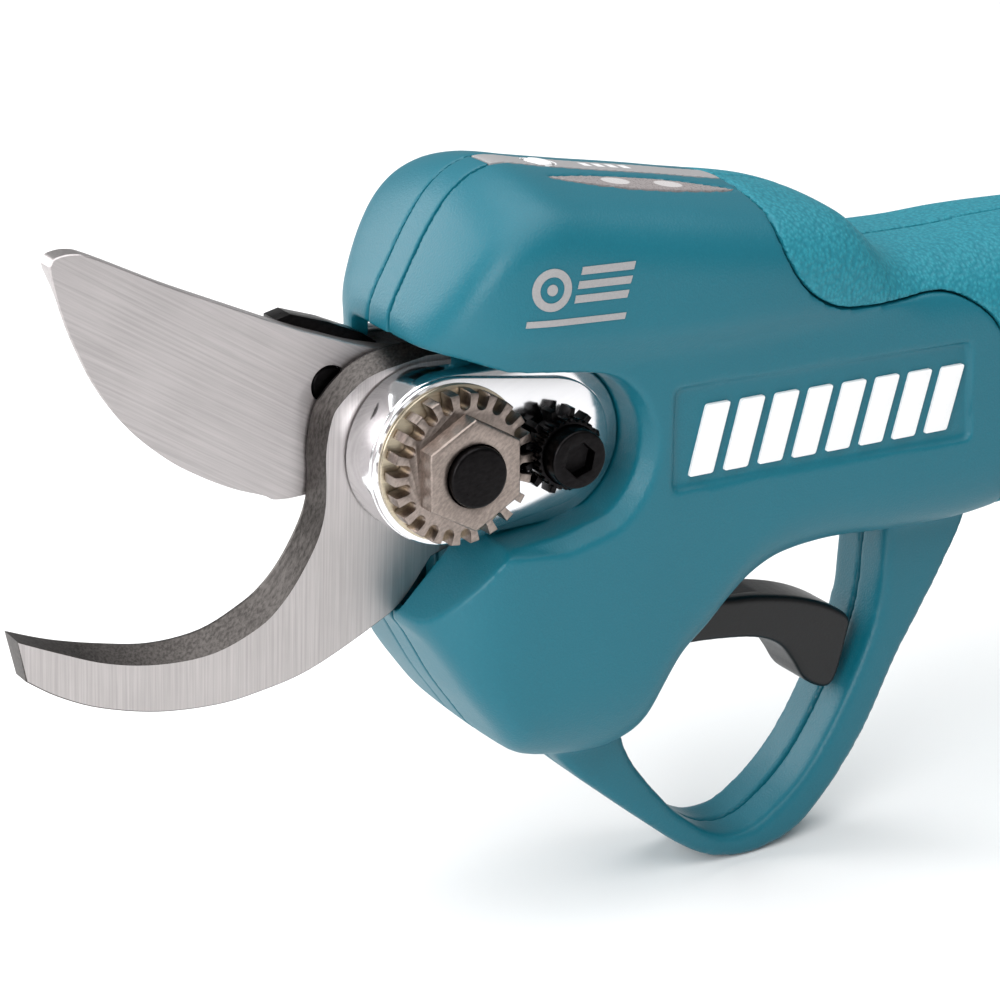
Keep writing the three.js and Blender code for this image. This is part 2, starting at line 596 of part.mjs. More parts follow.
function stator() {
  let body = tube(67, 91, 11.4, 7.4);
  for (let k = 0; k < 6; k++) {
    const slot = box(60, 100, -1.4, 1.4, 6, 10).rotate([k * 60, 0, 0]).translate([0, MOTOR_Y, 0]);
    body = cut(body, slot);
  }
  return body;
}

// ---------------------------------------------------------------- trigger and controls
function trigger() {
  const lever = softPrism(TRIGGER, -TRIGGER_HALF, TRIGGER_HALF, 1);
  const groove = softPrism([[58, -35], [80, -38], [84, -43.6], [76, -40.4], [65, -37.8], [58, -37.6]], -3, 3, 0.8);
  return cut(join(lever, disc(...TRIGGER_PIN, 4.5, -TRIGGER_HALF, TRIGGER_HALF)), groove,
    disc(...TRIGGER_PIN, 2.3, -10, 10, 20), box(40, 44.4, -2, 2, -36.4, -30));
}

class Helix extends THREE.Curve {
  constructor(radius, length, turns) {
    super();
    Object.assign(this, { radius, length, turns });
  }

  getPoint(t, target = new THREE.Vector3()) {
    const angle = t * this.turns * 2 * Math.PI;
    return target.set(this.radius * Math.cos(angle), (t - 0.5) * this.length, this.radius * Math.sin(angle));
  }
}

function spring(x, y, z, radius, length, turns, wire) {
  const section = new THREE.Shape(arc(0, 0, wire, 0, 288, 4).map(([a, b]) => new THREE.Vector2(a, b)));
  const geometry = new THREE.ExtrudeGeometry(section, {
    steps: turns * 10, extrudePath: new Helix(radius, length, turns), bevelEnabled: false,
  });
  return solid(geometry.translate(x, y, z));
}

const panelSlope = Math.atan2(PANEL[1][1] - PANEL[0][1], PANEL[1][0] - PANEL[0][0]);
const panelAt = (x) => PANEL[0][1] + (x - PANEL[0][0]) * Math.tan(panelSlope);
const BUTTON_X = 24;

// A disc whose axis is the display panel's normal, from depth low to high along that normal.
function panelDisc(x, r, low, high, sides = 20) {
  const geometry = new THREE.CylinderGeometry(r, r, high - low, sides).translate(0, (low + high) / 2, 0);
  return solid(geometry.rotateX(Math.PI / 2).rotateY(-panelSlope).translate(x, 0, panelAt(x)));
}

function displayPanel() {
  const line = [PANEL[0], PANEL[1]];
  const inner = shift(line, -2).reverse();
  const plate = prism([...line, ...inner], -SEAM + GAP, SEAM - GAP);
  return cut(plate, box(0, PANEL[0][0], -SEAM, SEAM, 30, 60), panelDisc(BUTTON_X, 2.7, -6, 3));
}

function powerButton() {
  return join(panelDisc(BUTTON_X, 2.4, -2.4, 0.3), panelDisc(BUTTON_X, 3.1, -3.4, -2.3));
}

// ---------------------------------------------------------------- battery
function packFront() {
  const shell = cut(block(PACK_X[0], PACK_X[1], PACK_HALF, ...PACK_Z, 6),
    block(PACK_X[0] + 2.6, PACK_X[1] + 2, PACK_HALF - 2.5, PACK_Z[0] + 2.5, PACK_Z[1] - 2.5, 4));
  const rails = [-1, 1].map((side) => {
    const [a, b] = side < 0 ? [-30, -26.4] : [26.4, 30];
    const [c, d] = side < 0 ? [-30, -22.5] : [22.5, 30];
    return join(box(186.6, PACK_X[0] + 1, a, b, -46, 18), box(186.6, 188.2, c, d, -46, 18));
  });
  return cut(join(shell, ...rails), box(PACK_X[0] - 1, PACK_X[0] + 1.6, -9.4, 9.4, -70, -53));
}

function packRear() {
  const x0 = PACK_X[1] + GAP;
  return cut(block(x0, PACK_X[2], PACK_HALF, ...PACK_Z, 6, 4),
    block(x0 - 2, PACK_X[2] - 2.5, PACK_HALF - 2.5, PACK_Z[0] + 2.5, PACK_Z[1] - 2.5, 4));
}

function cell(k) {
  const z = 4.5 - k * (2 * CELL_R + 0.6);
  return disc(216, z, CELL_R, -CELL_HALF, CELL_HALF);
}

function releaseButton() {
  const body = box(189.4, 193, -9, 9, -62.6, -53.4);
  const grooves = [0, 1, 2].map((k) => box(189, 190, -7, 7, -61 + k * 2.6, -59.8 + k * 2.6));
  return cut(body, ...grooves);
}

function terminalBlock() {
  return join(box(187, 191.5, -9.6, 9.6, -5, 14), box(180, 187.1, -7.6, 7.6, -3, 12));
}

// ---------------------------------------------------------------- assembly
const teal = { color: 0x0f7f93, roughness: 0.45, metalness: 0 };
const softTeal = { color: 0x2b93a6, roughness: 0.8, metalness: 0 };
const black = { color: 0x1c1b1e, roughness: 0.4, metalness: 0 };
const grey = { color: 0x8f9093, roughness: 0.6, metalness: 0 };
const white = { color: 0xe8e8e8, roughness: 0.4, metalness: 0 };
const steel = { color: 0xb4aeae, roughness: 0.32, metalness: 1 };
const darkSteel = { color: 0x2c2a2b, roughness: 0.45, metalness: 0.8 };
const nickel = { color: 0x7c6f68, roughness: 0.35, metalness: 1 };
const polished = { color: 0xd2d2d6, roughness: 0.15, metalness: 1 };
const brass = { color: 0xb5924c, roughness: 0.35, metalness: 1 };
const copper = { color: 0xa8623a, roughness: 0.5, metalness: 0.8 };
const board = { color: 0x1d5a34, roughness: 0.6, metalness: 0 };

const group = new THREE.Group();
group.position.set(-(TIP_X + PACK_X[2]) / 2, 0, -BASE_Z);

function add(name, body, finish) {
  const mesh = new THREE.Mesh(surface(body), new THREE.MeshStandardMaterial(finish));
  mesh.name = name;
  group.add(mesh);
}

const terminalRoom = box(178, 200, -10, 10, -5.4, 14.4);
add('left_shell', join(leftShell(), footRail().intersect(half.left)).subtract(terminalRoom), teal);
add('right_shell', join(rightShell(), footRail().intersect(half.right)).subtract(terminalRoom), teal);
add('upper_strip', strip(STRIP_TOP, -WALL, PANEL[0][0] - GAP), teal);
add('lower_strip', strip(STRIP_LOW, WALL, 22.9), teal);
add('left_grip', grip('left'), softTeal);
add('right_grip', grip('right'), softTeal);
add('display_panel', displayPanel(), grey);
add('power_button', powerButton(), white);
add('status_lens', statusLens(), grey);
add('upper_blade', upperBlade(), steel);
add('hook_blade', hookBlade(), steel);
add('sector_gear', sectorGear(), darkSteel);
add('drive_pin', disc(...BLADE_PIN, 3, 0.4, 8.8, 20), darkSteel);
add('pivot_arm', pivotArm(), polished);
add('pivot_bolt', pivotBolt(), darkSteel);
add('pivot_bush', ring(0, 0, BUSH_R, BOLT_R + 0.2, 0.1, 8.9), brass);
add('nut_washer', ring(0, 0, 12.9, BOLT_R + GAP, -14.9, -14.3), brass);
add('adjust_nut', adjustNut(), nickel);
add('lock_gear', lockGear(), darkSteel);
add('lock_screw', lockScrew(), black);
add('gear_frame', gearFrame(), polished);
add('cross_bearing', ring(CROSS_X, 0, 5, 2.7, 14.5, 17.3), steel);
add('cross_shaft', crossShaft(), steel);
add('cross_mitre', crossMitre(), steel);
add('drive_mitre', driveMitre(), steel);
add('output_bearing', tube(41.9, 44.2, 6.5, 2.7, 20), steel);
add('planet_carrier', planetCarrier(), steel);
for (let k = 0; k < 3; k++) add(`planet_gear_${k + 1}`, planet(k), steel);
add('gearbox_cup', gearCup(), polished);
add('ring_gear', ringGear(), darkSteel);
add('motor_can', motorCan(), darkSteel);
add('stator', stator(), copper);
add('rotor', tube(67, 91, 6.9, 2.1), nickel);
add('motor_shaft', motorShaft(), steel);
add('front_bearing', tube(60.5, 64, 4.4, 2.2, 20), steel);
add('rear_bearing', tube(96, 99.4, 4.4, 2.2, 20), steel);
add('motor_end_cap', tube(96, 99.4, 11.4, 4.7), black);
add('trigger', trigger(), black);
add('trigger_pin', disc(...TRIGGER_PIN, 2, -12, 12, 20), steel);
add('trigger_spring', spring(TRIGGER_PIN[0], 8.6, TRIGGER_PIN[1], 3.4, 4.4, 3, 0.55), steel);
add('trigger_magnet', box(40.3, 44.1, -1.7, 1.7, -36.1, -33), nickel);
add('control_board', box(6, 56, -14, 14, 24, 25.6), board);
for (const [k, [x, z]] of SCREWS.entries()) {
  add(`housing_screw_${k + 1}`, join(disc(x, z, 3.2, 10.3, 12.6, 16), disc(x, z, 1.4, -11, 10.4, 12)), darkSteel);
}
add('terminal_block', terminalBlock(), black);
add('battery_front', packFront(), black);
add('battery_rear', packRear(), black);
for (let k = 0; k < 5; k++) add(`cell_${k + 1}`, cell(k), grey);
add('release_button', releaseButton(), grey);

export default group;
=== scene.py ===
# %% [markdown]
# # A battery pruner, piece by piece
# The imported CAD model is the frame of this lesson: it says where every piece is and what it moves with.
# Here the visible pieces get their finer surfaces and all of them get their finishes. Everything is in
# metres in the frame, but the pieces are drawn in millimetres about the blade pivot, because that is how
# a maker would measure them, and are carried into the frame at the end.

# %% Load the frame
import json
import math

import bmesh
import bpy
import numpy as np
from mathutils import Matrix, Vector

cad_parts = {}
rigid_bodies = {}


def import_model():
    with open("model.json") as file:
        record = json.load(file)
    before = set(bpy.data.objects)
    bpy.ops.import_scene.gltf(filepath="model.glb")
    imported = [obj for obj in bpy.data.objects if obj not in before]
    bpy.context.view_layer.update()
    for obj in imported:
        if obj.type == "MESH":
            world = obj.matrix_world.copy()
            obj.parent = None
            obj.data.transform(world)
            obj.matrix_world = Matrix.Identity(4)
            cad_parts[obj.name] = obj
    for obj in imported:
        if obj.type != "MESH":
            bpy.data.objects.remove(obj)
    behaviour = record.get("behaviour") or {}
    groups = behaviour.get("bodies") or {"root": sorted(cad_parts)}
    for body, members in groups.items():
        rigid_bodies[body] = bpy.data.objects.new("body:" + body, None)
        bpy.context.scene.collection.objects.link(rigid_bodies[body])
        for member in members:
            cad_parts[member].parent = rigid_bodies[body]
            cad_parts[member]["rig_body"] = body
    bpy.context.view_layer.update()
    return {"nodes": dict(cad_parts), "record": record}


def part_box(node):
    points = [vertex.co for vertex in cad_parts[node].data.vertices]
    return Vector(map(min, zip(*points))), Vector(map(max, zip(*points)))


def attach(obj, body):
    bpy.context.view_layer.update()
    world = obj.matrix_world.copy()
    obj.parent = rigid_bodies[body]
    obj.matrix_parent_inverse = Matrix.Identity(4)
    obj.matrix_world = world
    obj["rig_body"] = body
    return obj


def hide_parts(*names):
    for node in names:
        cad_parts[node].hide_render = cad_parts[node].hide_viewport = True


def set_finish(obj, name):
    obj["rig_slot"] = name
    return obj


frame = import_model()
bolt_low, bolt_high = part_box("pivot_bolt")
PIVOT = Vector(((bolt_low.x + bolt_high.x) / 2, 0, (bolt_low.z + bolt_high.z) / 2))
MILLIMETRES = Matrix.Translation(PIVOT) @ Matrix.Scale(0.001, 4)
print("pivot at", tuple(round(v, 5) for v in PIVOT), "nodes", len(frame["nodes"]))

# %% [markdown]
# ## Helpers for meshes
# A piece starts in a bmesh and becomes an object. Modifiers that shape it, such as booleans and voxel
# remeshes, are applied at once, so that each step has a plain mesh to work on.

# %% Objects from meshes
def as_object(bm, name):
    mesh = bpy.data.meshes.new(name)
    bm.to_mesh(mesh)
    bm.free()
    piece = bpy.data.objects.new(name, mesh)
    bpy.context.scene.collection.objects.link(piece)
    return piece


def applied(piece, *steps):
    for kind, settings in steps:
        modifier = piece.modifiers.new(kind, kind)
        for key, value in settings.items():
            setattr(modifier, key, value)
    graph = bpy.context.evaluated_depsgraph_get()
    mesh = bpy.data.meshes.new_from_object(piece.evaluated_get(graph))
    piece.modifiers.clear()
    old, piece.data = piece.data, mesh
    bpy.data.meshes.remove(old)
    return piece


def discard(*pieces):
    for piece in pieces:
        bpy.data.meshes.remove(piece.data)


def combined(piece, others, operation):
    """Joins, cuts or intersects with each of the others, which are used up."""
    for other in others:
        applied(piece, ("BOOLEAN", dict(object=other, operation=operation, solver="MANIFOLD")))
    discard(*others)
    return piece


def cut(piece, *tools):
    return combined(piece, tools, "DIFFERENCE")


def join(piece, *others):
    return combined(piece, others, "UNION")


def overlap(piece, *others):
    return combined(piece, others, "INTERSECT")


def copy_of(piece, name):
    twin = bpy.data.objects.new(name, piece.data.copy())
    bpy.context.scene.collection.objects.link(twin)
    return twin


# %% [markdown]
# A voxel remesh turns joined and cut solids into one even skin. Smoothing it then rounds every edge by
# about the voxel's size, the way a moulding tool leaves its edges.

# %% Moulded surfaces
def moulded(piece, voxel, rounds, keep=1.0):
    steps = [
        ("REMESH", dict(mode="VOXEL", voxel_size=voxel)),
        ("SMOOTH", dict(factor=0.5, iterations=rounds)),
    ]
    if keep < 1:
        steps.append(("DECIMATE", dict(ratio=keep)))
    return applied(piece, *steps)


def into_frame(piece, body, slot, *nodes, crease=35):
    """Carries a finished piece from millimetres into the frame and says what it stands for."""
    piece.data.transform(MILLIMETRES)
    piece.data.shade_smooth()
    piece.data.set_sharp_from_angle(angle=math.radians(crease))
    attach(piece, body)
    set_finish(piece, slot)
    if nodes:
        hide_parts(*nodes)
    triangles = sum(len(p.vertices) - 2 for p in piece.data.polygons)
    print(f"{piece.name}: {triangles} triangles")
    return piece


# %% [markdown]
# Outlines are lists of X-Z points. A flowing outline is written with few points and drawn through them as
# a closed or open Catmull-Rom curve.

# %% Outlines
def flowing(points, per=5, closed=True):
    p = np.array(points, float)
    count = len(p)
    spans = count if closed else count - 1
    made = []
    for k in range(spans):
        if closed:
            a, b, c, d = (p[(k + j) % count] for j in (-1, 0, 1, 2))
        else:
            a, b, c, d = (p[min(max(k + j, 0), count - 1)] for j in (-1, 0, 1, 2))
        for s in range(per):
            t = s / per
            made.append(0.5 * (2 * b + (c - a) * t + (2 * a - 5 * b + 4 * c - d) * t**2
                               + (3 * b - a - 3 * c + d) * t**3))
    if not closed:
        made.append(p[-1])
    return [tuple(q) for q in made]


def arc(x, z, r, start, end, steps):
    angles = [math.radians(start + (end - start) * s / steps) for s in range(steps + 1)]
    return [(x + r * math.cos(a), z + r * math.sin(a)) for a in angles]


def grown(points, d):
    """Moves an outline's points outwards by d, or each by its own share of it."""
    area = sum(x * points[(i + 1) % len(points)][1] - points[(i + 1) % len(points)][0] * z
               for i, (x, z) in enumerate(points))
    side = math.copysign(1, area)
    made = []
    for i, (x, z) in enumerate(points):
        before, after = Vector(points[i - 1]), Vector(points[(i + 1) % len(points)])
        one = (Vector((x, z)) - before).normalized()
        two = (after - Vector((x, z))).normalized()
        along = (one + two).normalized()
        reach = side * (d[i] if isinstance(d, list) else d) / max(along.dot(one), 0.5)
        made.append((x + along.y * reach, z - along.x * reach))
    return made


# %% [markdown]
# A prism is one face, extruded across the tool. The rims of its two ends can be bevelled, which is how
# the hard pieces get the small rounding that catches the light.

# %% Prisms and boxes
def prism(points, y0, y1, name="tool", edge=0.0, segments=2):
    """Extrudes an outline from y0 to y1, and rounds the rims of both ends if they are given a width."""
    bm = bmesh.new()
    base = bm.faces.new([bm.verts.new((x, y0, z)) for x, z in points])
    made = bmesh.ops.extrude_face_region(bm, geom=[base])["geom"]
    far_end = [v for v in made if isinstance(v, bmesh.types.BMVert)]
    bmesh.ops.translate(bm, verts=far_end, vec=(0, y1 - y0, 0))
    bmesh.ops.recalc_face_normals(bm, faces=bm.faces)
    if edge:
        rims = [e for e in bm.edges if abs(e.verts[0].co.y - e.verts[1].co.y) < 1e-6]
        bmesh.ops.bevel(bm, geom=rims, offset=edge, offset_type="OFFSET", segments=segments,
                        profile=0.5, affect="EDGES", material=-1)
    return as_object(bm, name)


def box(x0, x1, y0, y1, z0, z1, **how):
    return prism([(x0, z0), (x1, z0), (x1, z1), (x0, z1)], y0, y1, **how)


def disc(x, z, r, y0, y1, sides=64, name="tool", edge=0.0, segments=2):
    return prism(arc(x, z, r, 0, 360 - 360 / sides, sides - 1), y0, y1, name, edge, segments)


# %% [markdown]
# A skin is a grid whose rows are laid along rings of points, closed into a tube and capped. It makes the
# body of the tool from its cross sections.

# %% Skins over rings
def skin(rings, name="skin"):
    around = len(rings[0])
    bm = bmesh.new()
    grid = bmesh.ops.create_grid(bm, x_segments=around, y_segments=len(rings) - 1, size=1)["verts"]
    for k, vert in enumerate(grid):
        row, step = divmod(k, around + 1)
        vert.co = rings[row][step % around]
    bmesh.ops.remove_doubles(bm, verts=bm.verts, dist=1e-5)
    rims = [e for e in bm.edges if e.is_boundary]
    bmesh.ops.holes_fill(bm, edges=rims, sides=0)
    bmesh.ops.recalc_face_normals(bm, faces=bm.faces)
    return as_object(bm, name)


# %% [markdown]
# ## The moulded housing
# The real housing is two injection-moulded shells with a softer overmould behind them. Its form flows
# along the tool, so it is given as cross sections: where each is along the tool, its top and bottom, its
# half-width above and below the cove that runs along the side, and the radius of its corners. The
# sections between are found by a curve that doesn't overshoot.

# %% Sections of the housing
# x, top, bottom, upper half-width, lower half-width, upper corner radius, lower corner radius
SECTIONS = [
    (-5.4, 22, -29, 11, 11, 4, 3), (-4, 25.2, -30.5, 15.2, 14.6, 5, 4), (-2, 28.8, -34, 18, 17, 5.5, 4.5),
    (1.6, 35.2, -40.5, 20.8, 19.6, 6, 5), (5.4, 40.2, -46, 22.6, 21, 6.5, 6),
    (9.5, 43.2, -51.4, 23.6, 21.6, 7.5, 8), (14, 44.4, -54.4, 24, 21.8, 9, 12),
    (22, 43, -57, 24, 22, 9.5, 16), (28, 41.9, -57.8, 24, 22, 10, 17), (34, 40.8, -56, 24, 21.9, 10, 16),
    (37, 40.3, -50, 24, 21.8, 10, 13), (41, 39.6, -43.2, 24, 21.6, 10, 11),
    (46.5, 38.6, -38.2, 24, 21.4, 10, 10), (51, 37.7, -34, 23.8, 21.2, 10, 10),
    (56, 36.8, -30.4, 23.5, 21, 10, 10), (62, 35.7, -28, 23, 20.9, 10, 10),
    (68, 34.2, -27.2, 22.4, 20.8, 10, 10), (73, 32.2, -27, 21.8, 20.7, 10, 10),
    (78, 27.8, -27.2, 21.2, 20.7, 10, 10), (82, 24, -27.6, 20.8, 20.6, 10, 10),
    (88, 22.3, -28.2, 20.6, 20.6, 11, 11), (100, 22.2, -28.8, 20.5, 20.5, 12, 12),
    (112, 22.8, -28, 20.3, 20.3, 13, 13), (125, 23, -24.4, 19.6, 19.6, 14, 14),
    (140, 22.2, -20.6, 18.6, 18.6, 15, 15), (155, 19.8, -19.4, 18, 18, 15, 15),
    (165, 18.8, -21.4, 19, 19, 15, 15), (172, 20.6, -31, 24, 24, 12, 12), (177, 23, -44, 31, 31, 10, 10),
    (186, 24, -50, 34, 34, 8, 8),
]


def eased_step(value, low, high):
    t = min(max((value - low) / (high - low), 0), 1)
    return t * t * (3 - 2 * t)


def between_sections(per=4):
    """More rows between the sections, on a cubic curve whose slopes never overshoot."""
    rows = np.array(SECTIONS, float)
    step = np.diff(rows[:, 0])[:, None]
    slope = np.diff(rows, axis=0) / step
    same_way = slope[:-1] * slope[1:] > 0
    safe = np.where(same_way, slope[:-1] + slope[1:], 1)
    inner = np.where(same_way, 2 * slope[:-1] * slope[1:] / safe, 0)
    tangent = np.vstack([slope[:1], inner, slope[-1:]])
    made = []
    for k in range(len(rows) - 1):
        for s in range(per):
            t = s / per
            made.append(rows[k] * (2 * t**3 - 3 * t**2 + 1) + rows[k + 1] * (3 * t**2 - 2 * t**3)
                        + step[k] * (tangent[k] * (t**3 - 2 * t**2 + t) + tangent[k + 1] * (t**3 - t**2)))
    return made + [rows[-1]]


# %% [markdown]
# A section is drawn from the middle of its top to the middle of its bottom and mirrored. The top is
# crowned and runs into the corner's arc at the slope that it has there, so that no line shows along the
# join.

# %% One section
CROWN_HEAD, CROWN_GRIP, CROWN_LOW = 0.0098, 0.003, 0.0025
COVE_HALF = 2.6


def cove_height(x):
    return 15.6 + 4 * math.exp(-max(x, 0) / 22)


def quarter(half, radius, crown, flat_steps=8, corner_steps=10):
    """Half-widths and drops from the middle to the side, and the drop at which the side begins."""
    lean = 0.0
    for _ in range(5):
        lean = math.atan(2 * crown * (half - radius + radius * math.sin(lean)))
    meet = half - radius + radius * math.sin(lean)
    centre = crown * meet**2 + radius * math.cos(lean)
    points = [(meet * s / flat_steps, crown * (meet * s / flat_steps) ** 2) for s in range(flat_steps)]
    for s in range(corner_steps):
        angle = lean + (math.pi / 2 - lean) * s / corner_steps
        points.append((half - radius + radius * math.sin(angle), centre - radius * math.cos(angle)))
    return points, centre


def section_ring(row, inset):
    x, top, bottom, wide, narrow, high_r, low_r = row
    wide, narrow, top, bottom = wide - inset, narrow - inset, top - inset, bottom + inset
    crown = CROWN_HEAD + (CROWN_GRIP - CROWN_HEAD) * eased_step(x, 58, 82)
    upper, start = quarter(wide, min(max(high_r - inset, 1.5), wide - 0.3), crown)
    lower, end = quarter(narrow, min(max(low_r - inset, 1.5), narrow - 0.3), CROWN_LOW)
    start, end = top - start, bottom + end
    cove_top = min(start, cove_height(x) + COVE_HALF)
    cove_foot = min(start, cove_height(x) - COVE_HALF)
    spans = ((start, cove_top, 4), (cove_top, cove_foot, 9), (cove_foot, end, 9))
    heights = [z for span in spans for z in np.linspace(*span, endpoint=False)]
    cove = (cove_height(x) - COVE_HALF, cove_height(x) + COVE_HALF)
    side = [(wide + (narrow - wide) * (1 - eased_step(z, *cove)), z) for z in heights]
    half_ring = [(y, top - drop) for y, drop in upper] + side + [(narrow, end)]
    half_ring += [(y, bottom + drop) for y, drop in reversed(lower[1:])]
    other_half = [(-y, z) for y, z in reversed(half_ring[1:])]
    return [Vector((x, y, z)) for y, z in half_ring + [(0, bottom)] + other_half]


def body_form(inset=0.0, start=-99.0):
    """The housing's solid, drawn in by the inset and beginning at the start given."""
    rows = [row for row in between_sections() if row[0] >= start]
    rings = [section_ring(row, inset) for row in rows]
    if inset and start < SECTIONS[0][0]:
        for point in rings[0]:
            point.x += inset
        rings = rings[:1] + [ring for ring in rings[1:] if ring[0].x > rings[0][0].x + 0.3]
    return skin(rings)


form = body_form()
print("housing form:", len(form.data.vertices), "vertices")

# %% [markdown]
# The guard is a bow below the trigger. Its two outlines flow through a few points each, and the smoothing
# of the joined solid gives it its round edges and the soft roots where it grows out of the body.

# %% Guard
GUARD_OUTER = [
    (27, -62.4), (35.2, -69.6), (43.2, -76.3), (50.4, -82), (57.2, -85.5), (65.8, -86.3), (74.5, -83.7),
    (82.4, -76), (89.3, -66), (94.7, -55.2), (102, -43.2), (105.8, -36.4), (108.6, -30), (109, -20),
]
GUARD_INNER = [
    (91, -22), (91, -34.6), (89.5, -47.3), (83.7, -60.7), (76.7, -71.9), (70.2, -78), (63.5, -81.5),
    (56.5, -80.7), (49, -75.1), (43.6, -69), (39.6, -63.5), (37.4, -58.8), (36.9, -55), (38.2, -50),
    (42, -44),
]
GUARD_HALF = 7.7
bow = flowing([(22.5, -56.8), *GUARD_OUTER], closed=False) + [(60, -12), (30, -30)]
opening = flowing(GUARD_INNER, closed=False) + [(70, -20)]
guard = cut(prism(bow, -GUARD_HALF, GUARD_HALF), prism(opening, -20, 20))
form = moulded(join(form, guard), 1.0, 8)
print("with the guard:", len(form.data.vertices), "vertices")

# %% [markdown]
# ## Shells and grips
# The soft grip starts at a flowing line behind the head. The shells are the form in front of that line
# and a thinner core behind it, cut by everything that sits in them: the mouth for the blades, the pocket
# for the pivot arm, the seams beside the centre strips, the trigger slot, the label recess and the lens.

# %% Lines on the housing
SEAM = 3.4
GAP = 0.3
WALL = 2.5
SKIN_DEPTH = 2.0
GRIP_EDGE = [(57.6, 48), (57.6, 38), (56.6, 31), (58.8, 25), (63.6, 20), (70.6, 16.9), (82, 16.2), (92, 16.1),
             (99, 13), (104, 8), (106.2, 1), (106.6, -9), (106.4, -18), (109.6, -26), (110, -40)]
grip_line = flowing(GRIP_EDGE, closed=False) + [(166, -40), (166, 48)]
POCKET_TOP = [(-20, 23), (-5.5, 19.2), (0, 17.8), (6.5, 15.4)]
ARM_REACH = 18
pocket_end = arc(ARM_REACH, 0, 13.7, 78, -58, 12)
floor_line = POCKET_TOP + pocket_end + [(17, -13.7), (11, -14.1), (4, -14.5), (-6, -14.8), (-20, -14.8)]
crease_line = POCKET_TOP + pocket_end + [(17, -13.8), (10.6, -14.4), (4, -14.8), (-6, -15), (-20, -15)]
rim_line = grown(crease_line, [0] * 4 + [min(3, 0.4 * s) for s in range(13)] + [3, 2, 1.2, 0.8, 0.8])
RAMP = [(8.6, -13.2), (-9.6, -31.4), (-20, -31.4), (-20, 0), (8.6, 0)]


def ring_at(points, y):
    return [Vector((x, y, z)) for x, z in points]


pocket_form = [ring_at(floor_line, -12.6), ring_at(crease_line, -19.4), ring_at(rim_line, -22.3),
               ring_at(rim_line, -40)]
print("pocket:", len(floor_line), "points round its edge")

# %% [markdown]
# In the tool these are cores and slides. The mouth lets the blades swing, the slot lets the trigger rock,
# and the seams leave room for the centre strips. The label's room has a floor that leans with the side,
# and the lens is a pointed oval. They are functions or lists because more than one piece is cut by them.

# %% Cutters shared by both shells
MOUTH = [(-20, 23), (-5.5, 19.2), (0, 17.8), (5, 16.8), (5, -27.4), (-20, -27.4)]
MOUTH_Y = (-5.2, 9.3)
TRIGGER_SLOT = [(37.6, -47.4), (41.5, -49), (60.5, -29.4), (55, -24), (38, -30)]
LABEL = [(37, 8.2), (97.4, 6.8), (98.2, -10.8), (36.6, -9.4)]
LENS_X = (20, 56)
LENS_Y = -9.0


def mouth_and_seams():
    lower = [(-12, -27), (4, -27), (23.3, -50), (23.3, -70), (-12, -70)]
    return [prism(MOUTH, *MOUTH_Y), box(-12, 57.5, -SEAM, SEAM, 16, 60), prism(lower, -SEAM, SEAM),
            prism(TRIGGER_SLOT, -6.3, 6.3)]


def lens_outline(d):
    """A pointed ellipse seen from above."""
    middle, half = sum(LENS_X) / 2, (LENS_X[1] - LENS_X[0]) / 2 + 1.5 * d
    ts = [math.sin(math.pi * (s / 12 - 0.5)) for s in range(13)]
    near = [(middle + t * half, LENS_Y - (2.5 + d) * (1 - t * t)) for t in ts]
    far = [(middle + t * half, LENS_Y + (2.5 + d) * (1 - t * t)) for t in reversed(ts[1:-1])]
    return near + far


def lens_prism(d):
    return skin([[Vector((x, y, z)) for x, y in lens_outline(d)] for z in (20, 60)])


def rounded(points, radius, steps=4):
    """Rounds the corners of a four-sided outline."""
    made = []
    for i, (x, z) in enumerate(points):
        here = Vector((x, z))
        before = (Vector(points[i - 1]) - here).normalized() * radius
        after = (Vector(points[(i + 1) % len(points)]) - here).normalized() * radius
        for s in range(steps + 1):
            t = s / steps
            spot = here + before * (1 - t) ** 2 + after * t**2
            made.append(tuple(spot))
    return made


def label_floor(x):
    return -20.7 + (x - 36.6) * 0.0204


def label_room():
    floor = [Vector((x, label_floor(x), z)) for x, z in rounded(LABEL, 1.4)]
    return skin([[Vector((p.x, -60, p.z)) for p in floor], floor])


# %% [markdown]
# Each real shell is one moulding about 2.5 mm thick. So the solid is cut to its outside first, remeshed
# to round its edges, and only then hollowed, which leaves a lining round the pocket and the mouth and an
# end wall at the foot. The foot's flange is what the battery's rails slide on.

# %% The shells
FORM_END = 186
LINING = 2.2
RAIL_Z = (-46, 18)
SCREW_WELLS = [(36, 32), (63, 26), (16.5, -44), (31, -50), (97, -22.6), (150, 0)]
WELL_R = 3.6
core = body_form(SKIN_DEPTH + GAP, start=54)
hard = join(cut(copy_of(form, "hard"), prism(grown(grip_line, GAP), -60, 60)), core)
cut(hard, *mouth_and_seams())
foot_neck, foot_flange = box(185, 188.6, -22, 22, *RAIL_Z), box(188.5, 191, -26, 26, *RAIL_Z)
terminal_room = box(178, 200, -10, 10, -5.4, 14.4)
join(hard, cut(join(foot_neck, foot_flange), terminal_room))


def hollow(piece):
    """Takes out the inside, and leaves a wall round the pocket and the mouth."""
    inside = overlap(body_form(SKIN_DEPTH + GAP + WALL, start=40),
                     box(30, FORM_END - WALL, -60, 60, -90, 60))
    front = overlap(body_form(WALL + 0.6), box(-20, 52, -60, 60, -90, 60))
    lined = ((floor_line, -10.4), (crease_line, -17.2), (rim_line, -20.1), (rim_line, -40))
    walls = join(prism(grown(floor_line, LINING), -40, -4.7),
                 skin([ring_at(grown(line, LINING), y) for line, y in lined]))
    cut(front, walls, prism(grown(MOUTH, LINING), -7.4, 3.6), prism(grown(RAMP, LINING), -40, -4.7))
    return cut(piece, join(inside, front))


def half_of(piece, name, side):
    y0, y1 = (-60, -0.12) if side < 0 else (0.12, 60)
    return overlap(copy_of(piece, name), box(-90, 240, y0, y1, -100, 60))


